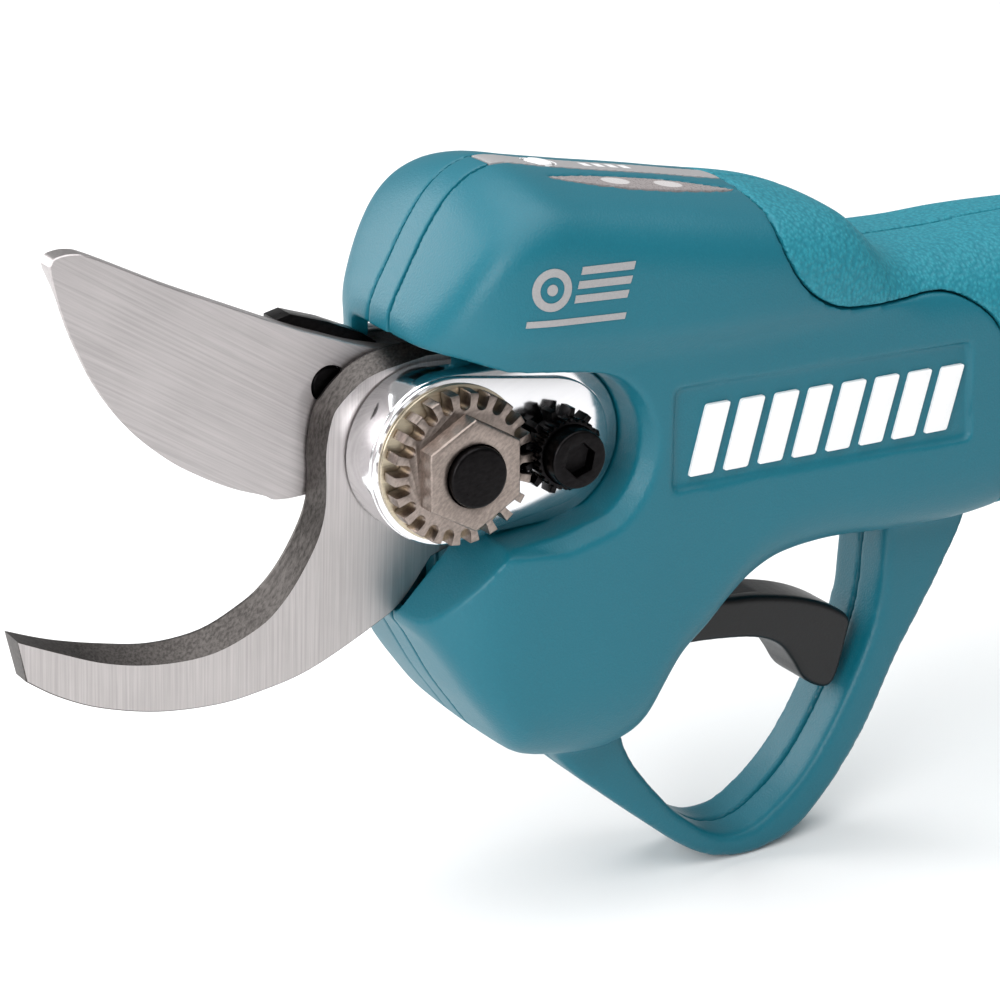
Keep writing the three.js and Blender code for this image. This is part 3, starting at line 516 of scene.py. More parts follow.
lens_room = cut(lens_prism(0.25), body_form(1.5))
left = cut(half_of(hard, "left_shell_skin", -1), prism(floor_line, -40, -4.7), skin(pocket_form),
           prism(RAMP, -40, -4.9), label_room(), lens_room)
left = hollow(moulded(left, 0.5, 5, keep=0.45))
right = cut(half_of(hard, "right_shell_skin", 1), disc(0, 0, 15, MOUTH_Y[1], 40),
            box(-20, 0, MOUTH_Y[1], 40, -15, 15),
            *[disc(x, z, WELL_R, 10, 40, sides=32) for x, z in SCREW_WELLS])
right = hollow(moulded(right, 0.5, 5, keep=0.45))
into_frame(left, "housing", "shell_teal", "left_shell")
into_frame(right, "housing", "shell_teal", "right_shell")

# %% [markdown]
# The grips are an overmould: a softer plastic shot onto the finished shells. Here each is the form behind
# the grip line with the core taken out, remeshed by itself so that its edge rounds down into a dark seam.

# %% Soft grips
grip_band = overlap(copy_of(form, "grip"), prism(grip_line, -60, 60))
cut(grip_band, body_form(SKIN_DEPTH, start=50))
for side, word in ((-1, "left"), (1, "right")):
    piece = moulded(half_of(grip_band, f"{word}_grip_skin", side), 0.55, 5, keep=0.6)
    into_frame(piece, "housing", "grip_rubber", f"{word}_grip")

# %% [markdown]
# Down the nose runs a centre strip between the shells, in an upper and a lower piece, with the display
# panel behind the upper one. All three are slices of the form, so that they carry its crown on.

# %% Centre strips, panel and lens
PANEL_X = (13.4, 57.2)
STRIP_HALF = SEAM - GAP


def rind(name, depth, *keep):
    """A slice of the form, as deep as the depth given."""
    piece = overlap(copy_of(form, name), *keep)
    return cut(piece, body_form(depth))


upper = rind("upper_strip_skin", WALL, box(-20, PANEL_X[0] - 0.2, -STRIP_HALF, STRIP_HALF, 16, 60))
cut(upper, prism(MOUTH, *MOUTH_Y))
lower_line = [(-12, -27.3), (3.8, -27.3), (22.9, -50), (22.9, -70), (-12, -70)]
lower = rind("lower_strip_skin", WALL, prism(lower_line, -STRIP_HALF, STRIP_HALF))
panel = rind("panel_skin", 2.0, box(*PANEL_X, -STRIP_HALF, STRIP_HALF, 30, 60))
lens = overlap(lens_prism(-0.1), copy_of(form, "lens_form"))
lens.name = "lens_skin"
cut(lens, body_form(1.3))
for piece, slot, node in ((upper, "shell_teal", "upper_strip"), (lower, "shell_teal", "lower_strip"),
                          (lens, "lens_grey", "status_lens")):
    into_frame(moulded(piece, 0.3, 4), "housing", slot, node)
button_hole = disc(0, 0, 2.7, -6, 6)
PANEL_LEAN = math.atan2(7.95, 43.8)
BUTTON_X = 24
button_place = Matrix.Translation((BUTTON_X, 0, 42.5)) @ Matrix.Rotation(PANEL_LEAN, 4, "Y") \
    @ Matrix.Rotation(math.pi / 2, 4, "X")
button_hole.data.transform(button_place)
into_frame(moulded(cut(panel, button_hole), 0.3, 4), "housing", "panel_grey", "display_panel")

# %% [markdown]
# ## Blades
# Both blades are ground from plate, so each is a skin over a few outlines: the full outline on the flat
# face, and on the other face the outline drawn back along the ground edge. The small bevels at the end
# are what a grinding wheel's deburring leaves.

# %% Ground plates
BLADE_BACK = [(-60.2, 36.3), (-59.2, 37.7), (-56.2, 38), (-52.7, 36.8), (-41.3, 31), (-32.1, 26.7),
              (-20.7, 21.5), (-14.5, 19), (-8, 16.6), (0, 14.6)]
BLADE_EDGE = [(-21.4, -6.7), (-24.2, -6.4), (-26, -5.4), (-31.1, -3.4), (-36.7, -0.4), (-42.3, 3.4),
              (-48.4, 9.2), (-53.3, 16.1), (-56.5, 22.9), (-58.8, 29.6), (-60.2, 36.3)]
BLADE_PIN = (-14, 11)
BOLT_ROOM = 5.3
blade_back = flowing(BLADE_BACK, closed=False)[1:]
blade_hub = arc(0, 0, 14.6, 84, -154, 40)
blade_edge = flowing(BLADE_EDGE, closed=False)[:-1]
blade_line = blade_back + blade_hub + blade_edge
rise_in = len(blade_back) + len(blade_hub) + 4
GROUND_WIDTH, FADE_IN, FADE_OUT = 3.2, 4, 12
ground = [GROUND_WIDTH * min(max((k - rise_in) / FADE_IN, 0), 1) * min((len(blade_line) - k) / FADE_OUT, 1)
          for k in range(len(blade_line))]
eased_line = grown(blade_line, -0.18)
cutting_line = grown(blade_line, [-max(g, 0.12) for g in ground])
blade = skin([ring_at(eased_line, 0.0), ring_at(blade_line, 0.2), ring_at(blade_line, 0.45),
              ring_at(grown(blade_line, [-0.95 * g for g in ground]), 3.8), ring_at(cutting_line, 4.0)],
             "upper_blade_plate")
cut(blade, disc(0, 0, 6.8, -2, 6), disc(*BLADE_PIN, 3.3, -2, 6))
into_frame(blade, "upper_blade", "blade_steel", "upper_blade", crease=25)

# %% [markdown]
# The hook that holds the branch doesn't move. Its hollow edge is ground by a wheel, so its width is given
# at each point of the inner outline, and the skin's rings draw back by that width.

# %% Counter blade
# x, z, and the width of the hollow-ground edge there
HOOK_INNER = [
    (-70.5, -19.2, 0.4), (-63.4, -22, 0.9), (-55.2, -24.3, 2.0), (-46.8, -25.9, 2.3), (-38.2, -25.4, 2.9),
    (-31.1, -22.5, 3.3), (-27.2, -19.9, 2.9), (-23.9, -16.3, 2.5), (-21, -11.7, 2.3), (-19.3, -7.8, 1.8),
    (-18.6, -3.7, 1.4), (-18.5, 2, 1.4), (-17.4, 7.4, 1.5), (-15.7, 10.2, 1.6), (-11.8, 13.6, 1.8),
    (-8, 15.3, 2), (-3.6, 16.1, 2), (1, 16.4, 1.6),
]
HOOK_TANG = [(12, 14.6), (24, 12), (24, -12), (12, -16)]
HOOK_OUTER = [(1.5, -19.3), (-3.8, -25.9), (-9.2, -29.3), (-20.7, -34.5), (-30, -36.5), (-37.5, -37.1),
              (-47.3, -36.2), (-57, -33.5), (-64, -30.1), (-69, -26.6)]
hook_in = flowing(HOOK_INNER, closed=False)
hook_out = HOOK_TANG + flowing(HOOK_OUTER, closed=False)
hook_line = [(x, z) for x, z, _ in hook_in] + hook_out


def hook_ring(y, share, ease):
    """The hook's outline at y, with a share of its ground edge taken off and its outside drawn in."""
    return ring_at(grown(hook_line, [-share * w for _, _, w in hook_in] + [-ease] * len(hook_out)), y)


HOOK_RINGS = [(-4.6, 1, 0.25), (-4.4, 0.95, 0.05), (-1.0, 0, 0), (-0.5, 0, 0), (-0.3, 0.08, 0.15)]
hook = skin([hook_ring(*ring) for ring in HOOK_RINGS], "hook_plate")
cut(hook, disc(0, 0, BOLT_ROOM, -8, 2))
into_frame(hook, "housing", "blade_steel", "hook_blade", crease=22)

# %% [markdown]
# ## The pivot
# The arm is a polished forging that clamps the blades against the body. The adjusting nut has U-shaped
# notches milled round its rim, the lock gear meshes with them and a socket screw holds it.

# %% Pivot arm
def edged(piece, width):
    return applied(piece, ("BEVEL", dict(width=width, segments=2, limit_method="ANGLE",
                                         angle_limit=math.radians(28), profile=0.5)))


def obround(r, end_x, end_r, steps=28):
    """Two round ends of different radii and the straight lines that touch both."""
    lean = math.degrees(math.asin((r - end_r) / end_x))
    return arc(0, 0, r, 90 - lean, 270 + lean, steps) + arc(end_x, 0, end_r, -90 + lean, 90 - lean, steps)


def hexagon(corner_r, start=30):
    return arc(0, 0, corner_r, start, start + 300, 5)


arm = prism(obround(14, ARM_REACH, 13.4), -13.2, -4.9, "arm", edge=0.35, segments=3)
join(arm, prism(obround(13.8, ARM_REACH, 11.0), -14.1, -12.0, edge=0.3, segments=3))
cut(arm, disc(0, 0, BOLT_ROOM, -20, 0), disc(ARM_REACH, 0, 2.8, -20, 0))
into_frame(arm, "housing", "polished_steel", "pivot_arm", crease=30)

# %% [markdown]
# The nut is a turned steel disc, milled between its teeth and nickel plated. Here a cutter for one gap is
# turned round the axis, the gaps are merged and cut at once, and the hexagon is joined on top.

# %% Toothed rims
def merged(pieces, name):
    bm = bmesh.new()
    for piece in pieces:
        bm.from_mesh(piece.data)
    discard(*pieces)
    return as_object(bm, name)


def turned(points, angle, x=0.0):
    """An outline, turned about the pivot and then moved along the tool."""
    c, s = math.cos(angle), math.sin(angle)
    return [(x + a * c - b * s, a * s + b * c) for a, b in points]


NUT_TEETH = 22
NUT_FLATS = 16
LOCK_TEETH = 12
notch = [(14, -1.1)] + arc(10.7, 0, 0.95, 270, 90, 10) + [(14, 1.1)]
notches = [prism(turned(notch, (k + 0.5) * 2 * math.pi / NUT_TEETH), -19.5, -14.5)
           for k in range(NUT_TEETH)]
nut = disc(0, 0, 12.5, -18.7, -15.1, sides=132, name="nut", edge=0.35)
cut(nut, merged(notches, "notches"))
join(nut, prism(hexagon(NUT_FLATS / 2 / math.cos(math.pi / 6)), -22.2, -18.0, edge=0.45, segments=3))
cut(nut, disc(0, 0, 5.25, -30, 0))
into_frame(edged(nut, 0.3), "adjust_nut", "nickel_steel", "adjust_nut", crease=30)

# %% [markdown]
# The blackened lock gear stops the nut from turning. It has coarse teeth in mesh with the nut, a finely
# notched skirt, and a socket screw down its middle.

# %% Lock gear and its screw
def toothed(teeth, root, tip, root_share, tip_share, turn):
    """A gear's outline: straight-sided teeth whose widths are shares of the pitch."""
    pitch = 2 * math.pi / teeth
    points = []
    for k in range(teeth):
        for share, r in ((-root_share, root), (-tip_share, tip), (tip_share, tip), (root_share, root)):
            angle = turn + (k + share) * pitch
            points.append((r * math.cos(angle), r * math.sin(angle)))
    return points


lock_teeth = turned(toothed(LOCK_TEETH, 5.1, 7.1, 0.27, 0.13, math.pi / LOCK_TEETH), 0, ARM_REACH)
lock = prism(lock_teeth, -18.4, -15.2, "lock_gear_body", edge=0.3, segments=3)
skirt = turned(toothed(30, 5.5, 5.85, 0.32, 0.16, 0), 0, ARM_REACH)
join(lock, prism(skirt, -20.6, -17.6, edge=0.12))
cut(lock, disc(ARM_REACH, 0, 3.2, -18.4, 0), disc(ARM_REACH, 0, 5.1, -25, -18.4))
into_frame(lock, "lock_gear", "black_steel", "lock_gear", crease=30)
head = disc(ARM_REACH, 0, 4.85, -23.6, -18.9, name="lock_screw_body", edge=0.5, segments=3)
join(head, disc(ARM_REACH, 0, 2.5, -19.2, -6))
cut(head, prism(turned(hexagon(2.9, 0), 0.3, ARM_REACH), -25, -21.4))
into_frame(edged(head, 0.12), "housing", "black_steel", "lock_screw", crease=30)

# %% [markdown]
# One bolt goes through the blades, with its head on the right and its thread in the nut. A thin brass
# washer lies under the nut.

# %% Bolt and washer
bolt = disc(0, 0, 5, -23.4, 14.4, name="bolt_body", edge=0.6, segments=3)
join(bolt, prism(hexagon(8.6), 14.0, 19.3, edge=0.5))
into_frame(bolt, "housing", "black_steel", "pivot_bolt", crease=30)
washer = disc(0, 0, 12.9, -14.9, -14.3, sides=96, name="washer", edge=0.12)
cut(washer, disc(0, 0, BOLT_ROOM, -20, 0))
into_frame(washer, "housing", "bush_brass", "nut_washer", crease=30)

# %% [markdown]
# The frame that carries the gears shows as an aluminium plate on the right side, with a well for the
# bolt's head.

# %% Gear frame
gear_plate = prism(obround(14, 30, 11), 14.4, 17.4, "gear_plate", edge=0.5)
join(gear_plate, disc(0, 0, 13, 9.2, 15, sides=96), disc(0, 0, 14, 17, 21, sides=96, edge=0.7, segments=3))
cut(gear_plate, disc(0, 0, BOLT_ROOM, 0, 30), disc(0, 0, 9.4, 14, 24, sides=96), disc(30, 0, 5.3, 10, 20))
into_frame(gear_plate, "housing", "frame_alloy", "gear_frame", crease=30)

# %% [markdown]
# ## Trigger
# A curved lever with a hooked end and a shallow groove along its top, moulded in black.

# %% Trigger lever
TRIGGER = [(38, -33.5), (44, -34.8), (52, -36.6), (59, -37.6), (66, -38.4), (74, -40.2), (80.6, -42.8),
           (85.4, -46.2), (85, -50), (83.4, -56), (81.8, -58.4), (79.6, -58.4), (76.2, -56.2), (73.6, -52.2),
           (70.6, -48.6), (65.4, -46.2), (57, -44.9), (48, -44.2), (40, -43), (36, -41)]
PIN_ROOM, LEVER_HALF = 2.3, 5.5


def pin_and_spring_room():
    return disc(38, -38, PIN_ROOM, -10, 10), box(40, 44.4, -2, 2, -36.4, -30)


lever = prism(flowing(TRIGGER, per=4), -LEVER_HALF, LEVER_HALF, "trigger_lever", edge=1.1, segments=4)
groove = [(50, -30), (58, -36.9), (66, -37.6), (74, -39.4), (80, -42), (84.2, -45), (90, -40), (80, -30)]
cut(lever, prism(groove, -3.6, 3.6), *pin_and_spring_room())
join(lever, cut(disc(38, -38, 4.5, -LEVER_HALF, LEVER_HALF), *pin_and_spring_room()))
cut(lever, box(58, 86, -2.9, 2.9, -38.6, -30))
into_frame(moulded(lever, 0.3, 4), "trigger", "trigger_black", "trigger", crease=60)

# %% [markdown]
# Small turned parts are spun from half of their outline, as on a lathe.

# %% Turned parts
def turning(profile, name, steps=48):
    """Spins a profile of radius and height about the Y axis."""
    bm = bmesh.new()
    verts = [bm.verts.new((r, y, 0)) for r, y in profile]
    for pair in zip(verts, verts[1:]):
        bm.edges.new(pair)
    bmesh.ops.spin(bm, geom=bm.verts[:] + bm.edges[:], cent=(0, 0, 0), axis=(0, 1, 0), angle=2 * math.pi,
                   steps=steps, use_merge=True)
    bmesh.ops.remove_doubles(bm, verts=bm.verts, dist=1e-4)
    bmesh.ops.recalc_face_normals(bm, faces=bm.faces)
    return as_object(bm, name)


pin = turning([(0, 0.4), (2.6, 0.4), (3, 0.8), (3, 8.8), (0, 8.8)], "drive_pin_body")
pin.data.transform(Matrix.Translation((BLADE_PIN[0], 0, BLADE_PIN[1])))
into_frame(pin, "upper_blade", "black_steel", "drive_pin")
button = turning([(0, 0.42), (1, 0.4), (1.8, 0.3), (2.25, 0.08), (2.4, -0.2), (2.4, -2.4), (3.1, -2.4),
                  (3.1, -3.4), (0, -3.4)], "button_cap")
button.data.transform(button_place)
into_frame(button, "power_button", "button_white", "power_button")

# %% [markdown]
# Where the CAD solid is right and only its edges are too sharp, a copy of its mesh is merged, its flat
# faces are dissolved into whole ones, and its edges get a small bevel.

# %% Eased copies of CAD parts
def eased(node, slot, width):
    bm = bmesh.new()
    bm.from_mesh(frame["nodes"][node].data)
    bmesh.ops.transform(bm, matrix=MILLIMETRES.inverted(), verts=bm.verts)
    bmesh.ops.remove_doubles(bm, verts=bm.verts, dist=1e-3)
    bmesh.ops.dissolve_limit(bm, angle_limit=math.radians(1), verts=bm.verts, edges=bm.edges,
                             use_dissolve_boundaries=False, delimit=set())
    bmesh.ops.recalc_face_normals(bm, faces=bm.faces)
    piece = edged(as_object(bm, f"{node}_part"), width)
    return into_frame(piece, frame["nodes"][node]["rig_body"], slot, node, crease=30)


eased("sector_gear", "black_steel", 0.25)
for k in range(6):
    eased(f"housing_screw_{k + 1}", "black_steel", 0.3)

# %% [markdown]
# ## Battery
# The battery is a sliding pack in two moulded halves round five cells. The sides of the rear half have
# finger ribs, and its rear face a shallow field and a small charge gauge.

# %% Battery blocks
PACK_HALF, PACK_LOW, PACK_HIGH = 37, -86.4, 20


def block_ring(x, inset, radius=6, steps=6):
    """A rounded rectangle across the pack."""
    half, low, high, r = PACK_HALF - inset, PACK_LOW + inset, PACK_HIGH - inset, max(radius - inset, 1)
    corners = [(half - r, high - r, 0), (r - half, high - r, 90),
               (r - half, low + r, 180), (half - r, low + r, 270)]
    return [Vector((x, y, z)) for cy, cz, start in corners
            for y, z in arc(cy, cz, r, start, start + 90, steps)]


def block(x0, x1, name, soft_front, soft_rear, inset=0.0, steps=6):
    """A length of the pack, with its front and rear rims rounded by the radii given."""
    turns = [math.pi / 2 * s / steps for s in range(steps + 1)]
    rings = [block_ring(x0 + soft_front * (1 - math.sin(a)), inset + soft_front * (1 - math.cos(a)))
             for a in reversed(turns)]
    rings += [block_ring(x1 - soft_rear * (1 - math.sin(a)), inset + soft_rear * (1 - math.cos(a)))
              for a in turns]
    return skin(rings, name)


pack_front = block(191.8, 204, "battery_front_half", 1.2, 0.5)
cut(pack_front, block(194.4, 220, "cells_room", 1, 1, inset=2.5, steps=1),
    box(190, 197, -9.4, 9.4, -63, -53))
for side in (-1, 1):
    web, lip = sorted((26.4 * side, 30 * side)), sorted((22.5 * side, 30 * side))
    rail = join(box(186.6, 192.4, *web, *RAIL_Z, edge=0.3), box(186.6, 188.2, *lip, *RAIL_Z, edge=0.3))
    join(pack_front, rail)
into_frame(pack_front, "battery", "black_plastic", "battery_front")

pack_rear = block(204.3, 233, "battery_rear_half", 0.5, 4)
cut(pack_rear, block(180, 230.5, "cells_room", 1, 3, inset=2.5, steps=3))
RIB_STEP = 3.4
ribs = [box(207.5 + RIB_STEP * k, 209.3 + RIB_STEP * k, side * 36.2, side * 40, -62, -12)
        for side in (-1, 1) for k in range(6)]
field = prism(rounded([(-24, -62), (24, -62), (24, 0), (-24, 0)], 3), 232.3, 240)
gauge_room = prism(rounded([(-15, 5.2), (15, 5.2), (15, 11.8), (-15, 11.8)], 1.5), 232.2, 240)
SWAP_X_AND_Y = Matrix(((0, 1, 0, 0), (1, 0, 0, 0), (0, 0, 1, 0), (0, 0, 0, 1)))
for tool in (field, gauge_room):
    tool.data.transform(SWAP_X_AND_Y)
    tool.data.flip_normals()
cut(pack_rear, *ribs, field, gauge_room)
into_frame(edged(pack_rear, 0.25), "battery", "black_plastic", "battery_rear")

# %% [markdown]
# The charge gauge is four small domes and a push button in a shallow field. The release button at the
# front of the pack has three finger grooves.

# %% Gauge and release button
GAUGE_LIGHT = [(0, 0.5), (0.9, 0.45), (1.2, 0.1), (1.2, -1), (0, -1)]
GAUGE_BUTTON = [(0, 0.6), (1.6, 0.55), (2, 0.1), (2, -1), (0, -1)]
gauge = [(turning(GAUGE_LIGHT, f"gauge_light_{k + 1}", 24), -2.5 + 3.6 * k, "lens_grey") for k in range(4)]
gauge.append((turning(GAUGE_BUTTON, "gauge_button", 32), -9.5, "button_grey"))
for light, y, slot in gauge:
    light.data.transform(Matrix.Translation((232.2, y, 8.5)) @ Matrix.Rotation(-math.pi / 2, 4, "Z"))
    into_frame(light, "battery", slot)
release = box(189.4, 193, -9, 9, -62.6, -53.4, name="release_cap", edge=0.5)
cut(release, *[box(188, 190, -7, 7, -61 + 2.6 * k, -59.8 + 2.6 * k) for k in range(3)])
into_frame(edged(release, 0.2), "release_button", "button_grey", "release_button")

# %% [markdown]
# ## Badges
# The recessed field on the side carries plain raised bars, and a small silver mark of a ring and lines is
# printed near the top of the head.

# %% Side bars
BARS, BAR_START, BAR_STEP, BAR_WIDTH, BAR_LEAN = 8, 40.2, 6.9, 4.6, 3.2
for k in range(BARS):
    x = BAR_START + BAR_STEP * k
    low, high = -7.4 - 0.018 * (x - 40), 4.4 - 0.03 * (x - 40)
    floor = label_floor(x)
    right = x + BAR_WIDTH
    outline = rounded([(x, low), (right, low), (right + BAR_LEAN, high), (x + BAR_LEAN, high)], 0.5)
    into_frame(prism(outline, floor - 0.75, floor + 0.6, f"side_bar_{k + 1}", edge=0.25, segments=3),
               "housing", "button_white")

# %% [markdown]
# The mark is a thin slice of the side itself: its flat shapes are cut across the form and only a layer as
# thick as a badge is kept.

# %% Silver mark
MARK_PLACE, MARK_Y = (12.5, 28.6), (-60, -10)
MARK_PROUD, MARK_SUNK = 0.12, 0.35
mark = cut(disc(*MARK_PLACE, 3.4, *MARK_Y), disc(*MARK_PLACE, 2.1, -70, -5))
join(mark, disc(*MARK_PLACE, 0.9, *MARK_Y, sides=32))
for low, start in ((30.4, 17.6), (28.2, 17), (26, 16.4)):
    line = [(start, low), (start + 9.6, low - 0.4), (start + 10, low + 0.8), (start + 0.3, low + 1.2)]
    join(mark, prism(line, *MARK_Y))
join(mark, prism([(8.1, 23), (25.6, 22.2), (25.9, 23.2), (8.3, 24)], *MARK_Y))
cut(overlap(mark, body_form(-MARK_PROUD)), body_form(MARK_SUNK))
mark.name = "silver_mark"
into_frame(mark, "housing", "panel_grey", crease=30)
discard(form, hard, grip_band)

# %% [markdown]
# ## Finishes
# Shader sums are written as Python sums: a Signal wraps the output of a node, and each operator adds a
# Math node. A Finish is one material, with its own shader whose fixed values are set on the shader's
# sockets.

# %% Signals and finishes
class Signal:
    def __init__(self, finish, socket):
        self.finish, self.socket = finish, socket

    def _sum(self, operation, one, two):
        return self.finish.node("Math", {"operation": operation}, {0: one, 1: two})

    def __add__(self, other):
        return self._sum("ADD", self, other)

    __radd__ = __add__

    def __sub__(self, other):
        return self._sum("SUBTRACT", self, other)

    def __rsub__(self, other):
        return self._sum("SUBTRACT", other, self)

    def __mul__(self, other):
        return self._sum("MULTIPLY", self, other)

    __rmul__ = __mul__

    def __gt__(self, other):
        return self._sum("GREATER_THAN", self, other)

    def __lt__(self, other):
        return self._sum("LESS_THAN", self, other)


class Finish:
    def __init__(self, name, fixed):
        self.material = bpy.data.materials.new(name)
        self.material.use_nodes = True
        self.tree = self.material.node_tree
        self.shader = self.tree.nodes["Principled BSDF"]
        for key, value in fixed.items():
            self.shader.inputs[key].default_value = value
        self.place = self.node("TexCoord", {}, {}, "Object")

    def node(self, kind, settings, values, output=0):
        """Adds a node, sets it up, and gives one of its outputs."""
        node = self.tree.nodes.new("ShaderNode" + kind)
        for key, value in settings.items():
            if key == "stops":
                ramp = node.color_ramp.elements
                while len(ramp) < len(value):
                    ramp.new(0.5)
                for stop, (position, colour) in zip(ramp, value):
                    stop.position, stop.color = position, (*colour, 1)
            else:
                setattr(node, key, value)
        for key, value in values.items():
            if isinstance(value, Signal):
                self.tree.links.new(value.socket, node.inputs[key])
            else:
                node.inputs[key].default_value = value
        return Signal(self, node.outputs[output])

    def noise(self, scale, detail=2.0, where=None, roughness=0.5):
        return self.node("TexNoise", {}, {"Vector": where or self.place, "Scale": scale, "Detail": detail,
                                          "Roughness": roughness})

    def along(self, turn, stretch):
        """The place, turned about Y and drawn out along that direction, for marks that run one way."""
        return self.node("Mapping", {"vector_type": "TEXTURE"},
                         {"Vector": self.place, "Rotation": (0, -math.radians(turn), 0),
                          "Scale": (stretch, 1, 1)})

    def between(self, low, high, amount):
        """Clamps and eases an amount that goes from low to high to 0..1."""
        return self.node("MapRange", {"interpolation_type": "SMOOTHSTEP"},
                         {"Value": amount, "From Min": low, "From Max": high})

    def tint(self, amount, dark, light):
        """Mixes two colours, each given as a triple or as another signal."""
        dark, light = ((*c, 1) if isinstance(c, tuple) else c for c in (dark, light))
        return self.node("Mix", {"data_type": "RGBA"}, {0: amount, 6: dark, 7: light}, 2)

    def wire(self, **links):
        for key, signal in links.items():
            self.tree.links.new(signal.socket, self.shader.inputs[key.replace("_", " ").title()])
        return self

    def relief(self, height, depth):
        """Turns a height from 0 to 1 into bump of that depth in metres."""
        normal = self.node("Bump", {}, {"Height": height, "Distance": depth, "Strength": 1.0})
        return self.wire(normal=normal)

    def spots(self):
        """The place as its three numbers, in metres."""
        node = self.tree.nodes.new("ShaderNodeSeparateXYZ")
        self.tree.links.new(self.place.socket, node.inputs[0])
        return [Signal(self, out) for out in node.outputs]


FINISHES = {}


def finish(name, fixed):
    FINISHES[name] = Finish(name, fixed)
    return FINISHES[name]


# %% [markdown]
# The shells are teal plastic with a fine spark-eroded grain. The grain is shallow, so it mostly softens
# the highlights, and a slow change of tone keeps the wide faces from looking painted.

# %% Shell plastic
shell = finish("shell_teal", {"Specular IOR Level": 0.42})
grain = shell.noise(2600, 2)
slow = shell.noise(28, 2)
tone = shell.tint(slow, (0.0002, 0.104, 0.147), (0.0006, 0.119, 0.166))
shell.wire(base_color=shell.tint(shell.between(0.45, 0.75, grain) * 0.3, tone, (0.002, 0.14, 0.19)),
           roughness=0.36 + grain * 0.14)
shell.relief(grain, 0.00006)

# %% [markdown]
# The overmould is brighter and has a coarse pebble texture from an etched tool. Rounded cells give the
# pebbles, and their tops are painted a little lighter, a painted highlight where the light falls on them.

# %% Soft grip
grip = finish("grip_rubber", {"Specular IOR Level": 0.4})
pebble = grip.node("TexVoronoi", {"feature": "SMOOTH_F1"},
                   {"Vector": grip.place, "Scale": 1350, "Smoothness": 0.7})
pebbles = 1 - pebble
fine = grip.noise(3200, 2)
# The pebble tops get the lighter colour: a painted highlight on them, on top of their real bump.
grip.wire(base_color=grip.tint(grip.between(0.3, 0.8, pebbles), (0.004, 0.16, 0.215), (0.012, 0.21, 0.27)),
          roughness=0.5 + fine * 0.16)
grip.relief(pebbles + fine * 0.25, 0.00022)

# %% [markdown]
# Other plastics share one recipe: a colour with a little grain in it, a roughness and a depth of grain.

# %% Plain plastics
def plastic(name, dark, light, roughness, scale=2400, depth=0.00005):
    made = finish(name, {"Specular IOR Level": 0.35})
    grain = made.noise(scale, 3)
    slow = made.noise(60, 2)
    made.wire(base_color=made.tint(grain * 0.6 + slow * 0.4, dark, light), roughness=roughness + grain * 0.12)
    made.relief(grain, depth)
    return made, grain


plastic("button_white", (0.76, 0.77, 0.78), (0.88, 0.88, 0.88), 0.32)
plastic("button_grey", (0.15, 0.155, 0.16), (0.21, 0.215, 0.22), 0.4)
plastic("trigger_black", (0.002, 0.0018, 0.0022), (0.005, 0.0047, 0.0054), 0.3, scale=1900, depth=0.00003)
plastic("black_plastic", (0.008, 0.008, 0.0085), (0.018, 0.018, 0.019), 0.42, scale=1500, depth=0.00009)
plastic("board_green", (0.008, 0.07, 0.025), (0.02, 0.13, 0.05), 0.3, scale=700, depth=0.00004)

# %% [markdown]
# The display panel is grey film with a few printed marks, and the lens is speckled grey with two paler
# ovals over its lights. Both read the place along the tool.

# %% Panel and lens
FILM_TONES = (0.26, 0.255, 0.26), (0.34, 0.335, 0.34)
LENS_TONES = (0.17, 0.15, 0.15), (0.34, 0.31, 0.31)
film, film_grain = plastic("panel_grey", *FILM_TONES, 0.38, scale=3000)
x, y, z = film.spots()
ahead = (x - (PIVOT.x + 0.001 * BUTTON_X)) * 1000
aside = y * 1000
away = film.node("Math", {"operation": "SQRT"}, {0: ahead * ahead + aside * aside})
near_ring = film.between(2.75, 2.85, away) * film.between(3.05, 2.95, away)
to_and_fro = film.node("Math", {"operation": "PINGPONG"}, {0: ahead, 1: 1.25})
dashes = (ahead > 7) * (17 > ahead) * (to_and_fro > 0.5) * (aside > -1.2) * (1.2 > aside)
printed = film.node("Math", {"operation": "MAXIMUM"}, {0: near_ring, 1: dashes})
film.wire(base_color=film.tint(printed, film.tint(film_grain, *FILM_TONES), (0.75, 0.75, 0.76)))
lens_finish, speckle = plastic("lens_grey", *LENS_TONES, 0.22, scale=2400, depth=0.00001)
x, y, z = lens_finish.spots()


def oval(middle):
    ahead = (x - (PIVOT.x + 0.001 * middle)) * 380
    aside = (y - 0.001 * LENS_Y) * 760
    return lens_finish.between(1.15, 0.85, ahead * ahead + aside * aside)


lights = lens_finish.node("Math", {"operation": "MAXIMUM"}, {0: oval(33), 1: oval(43)})
speckled = lens_finish.tint(speckle, *LENS_TONES)
lens_finish.wire(base_color=lens_finish.tint(lights, speckled, (0.52, 0.5, 0.5)))

# %% [markdown]
# The steels share a recipe too. Grinding and brushing leave marks that run one way, so the noise is drawn
# out along that direction; a second, slower noise is the uneven shine of handling and oil.

# %% Steels
def steel(name, colour, roughness, turn, stretch, scale=2600, depth=0.000012, wear=0.25, spread=0.14):
    made = finish(name, {"Metallic": 1.0})
    marks = made.noise(scale, 3, made.along(turn, stretch), 0.6)
    smear = made.noise(90, 3)
    dull = tuple(c * (1 - wear) for c in colour)
    made.wire(base_color=made.tint(made.between(0.3, 0.7, marks * 0.75 + smear * 0.25), dull, colour),
              roughness=roughness + marks * spread + smear * 0.08 - 0.04)
    made.relief(marks, depth)
    return made


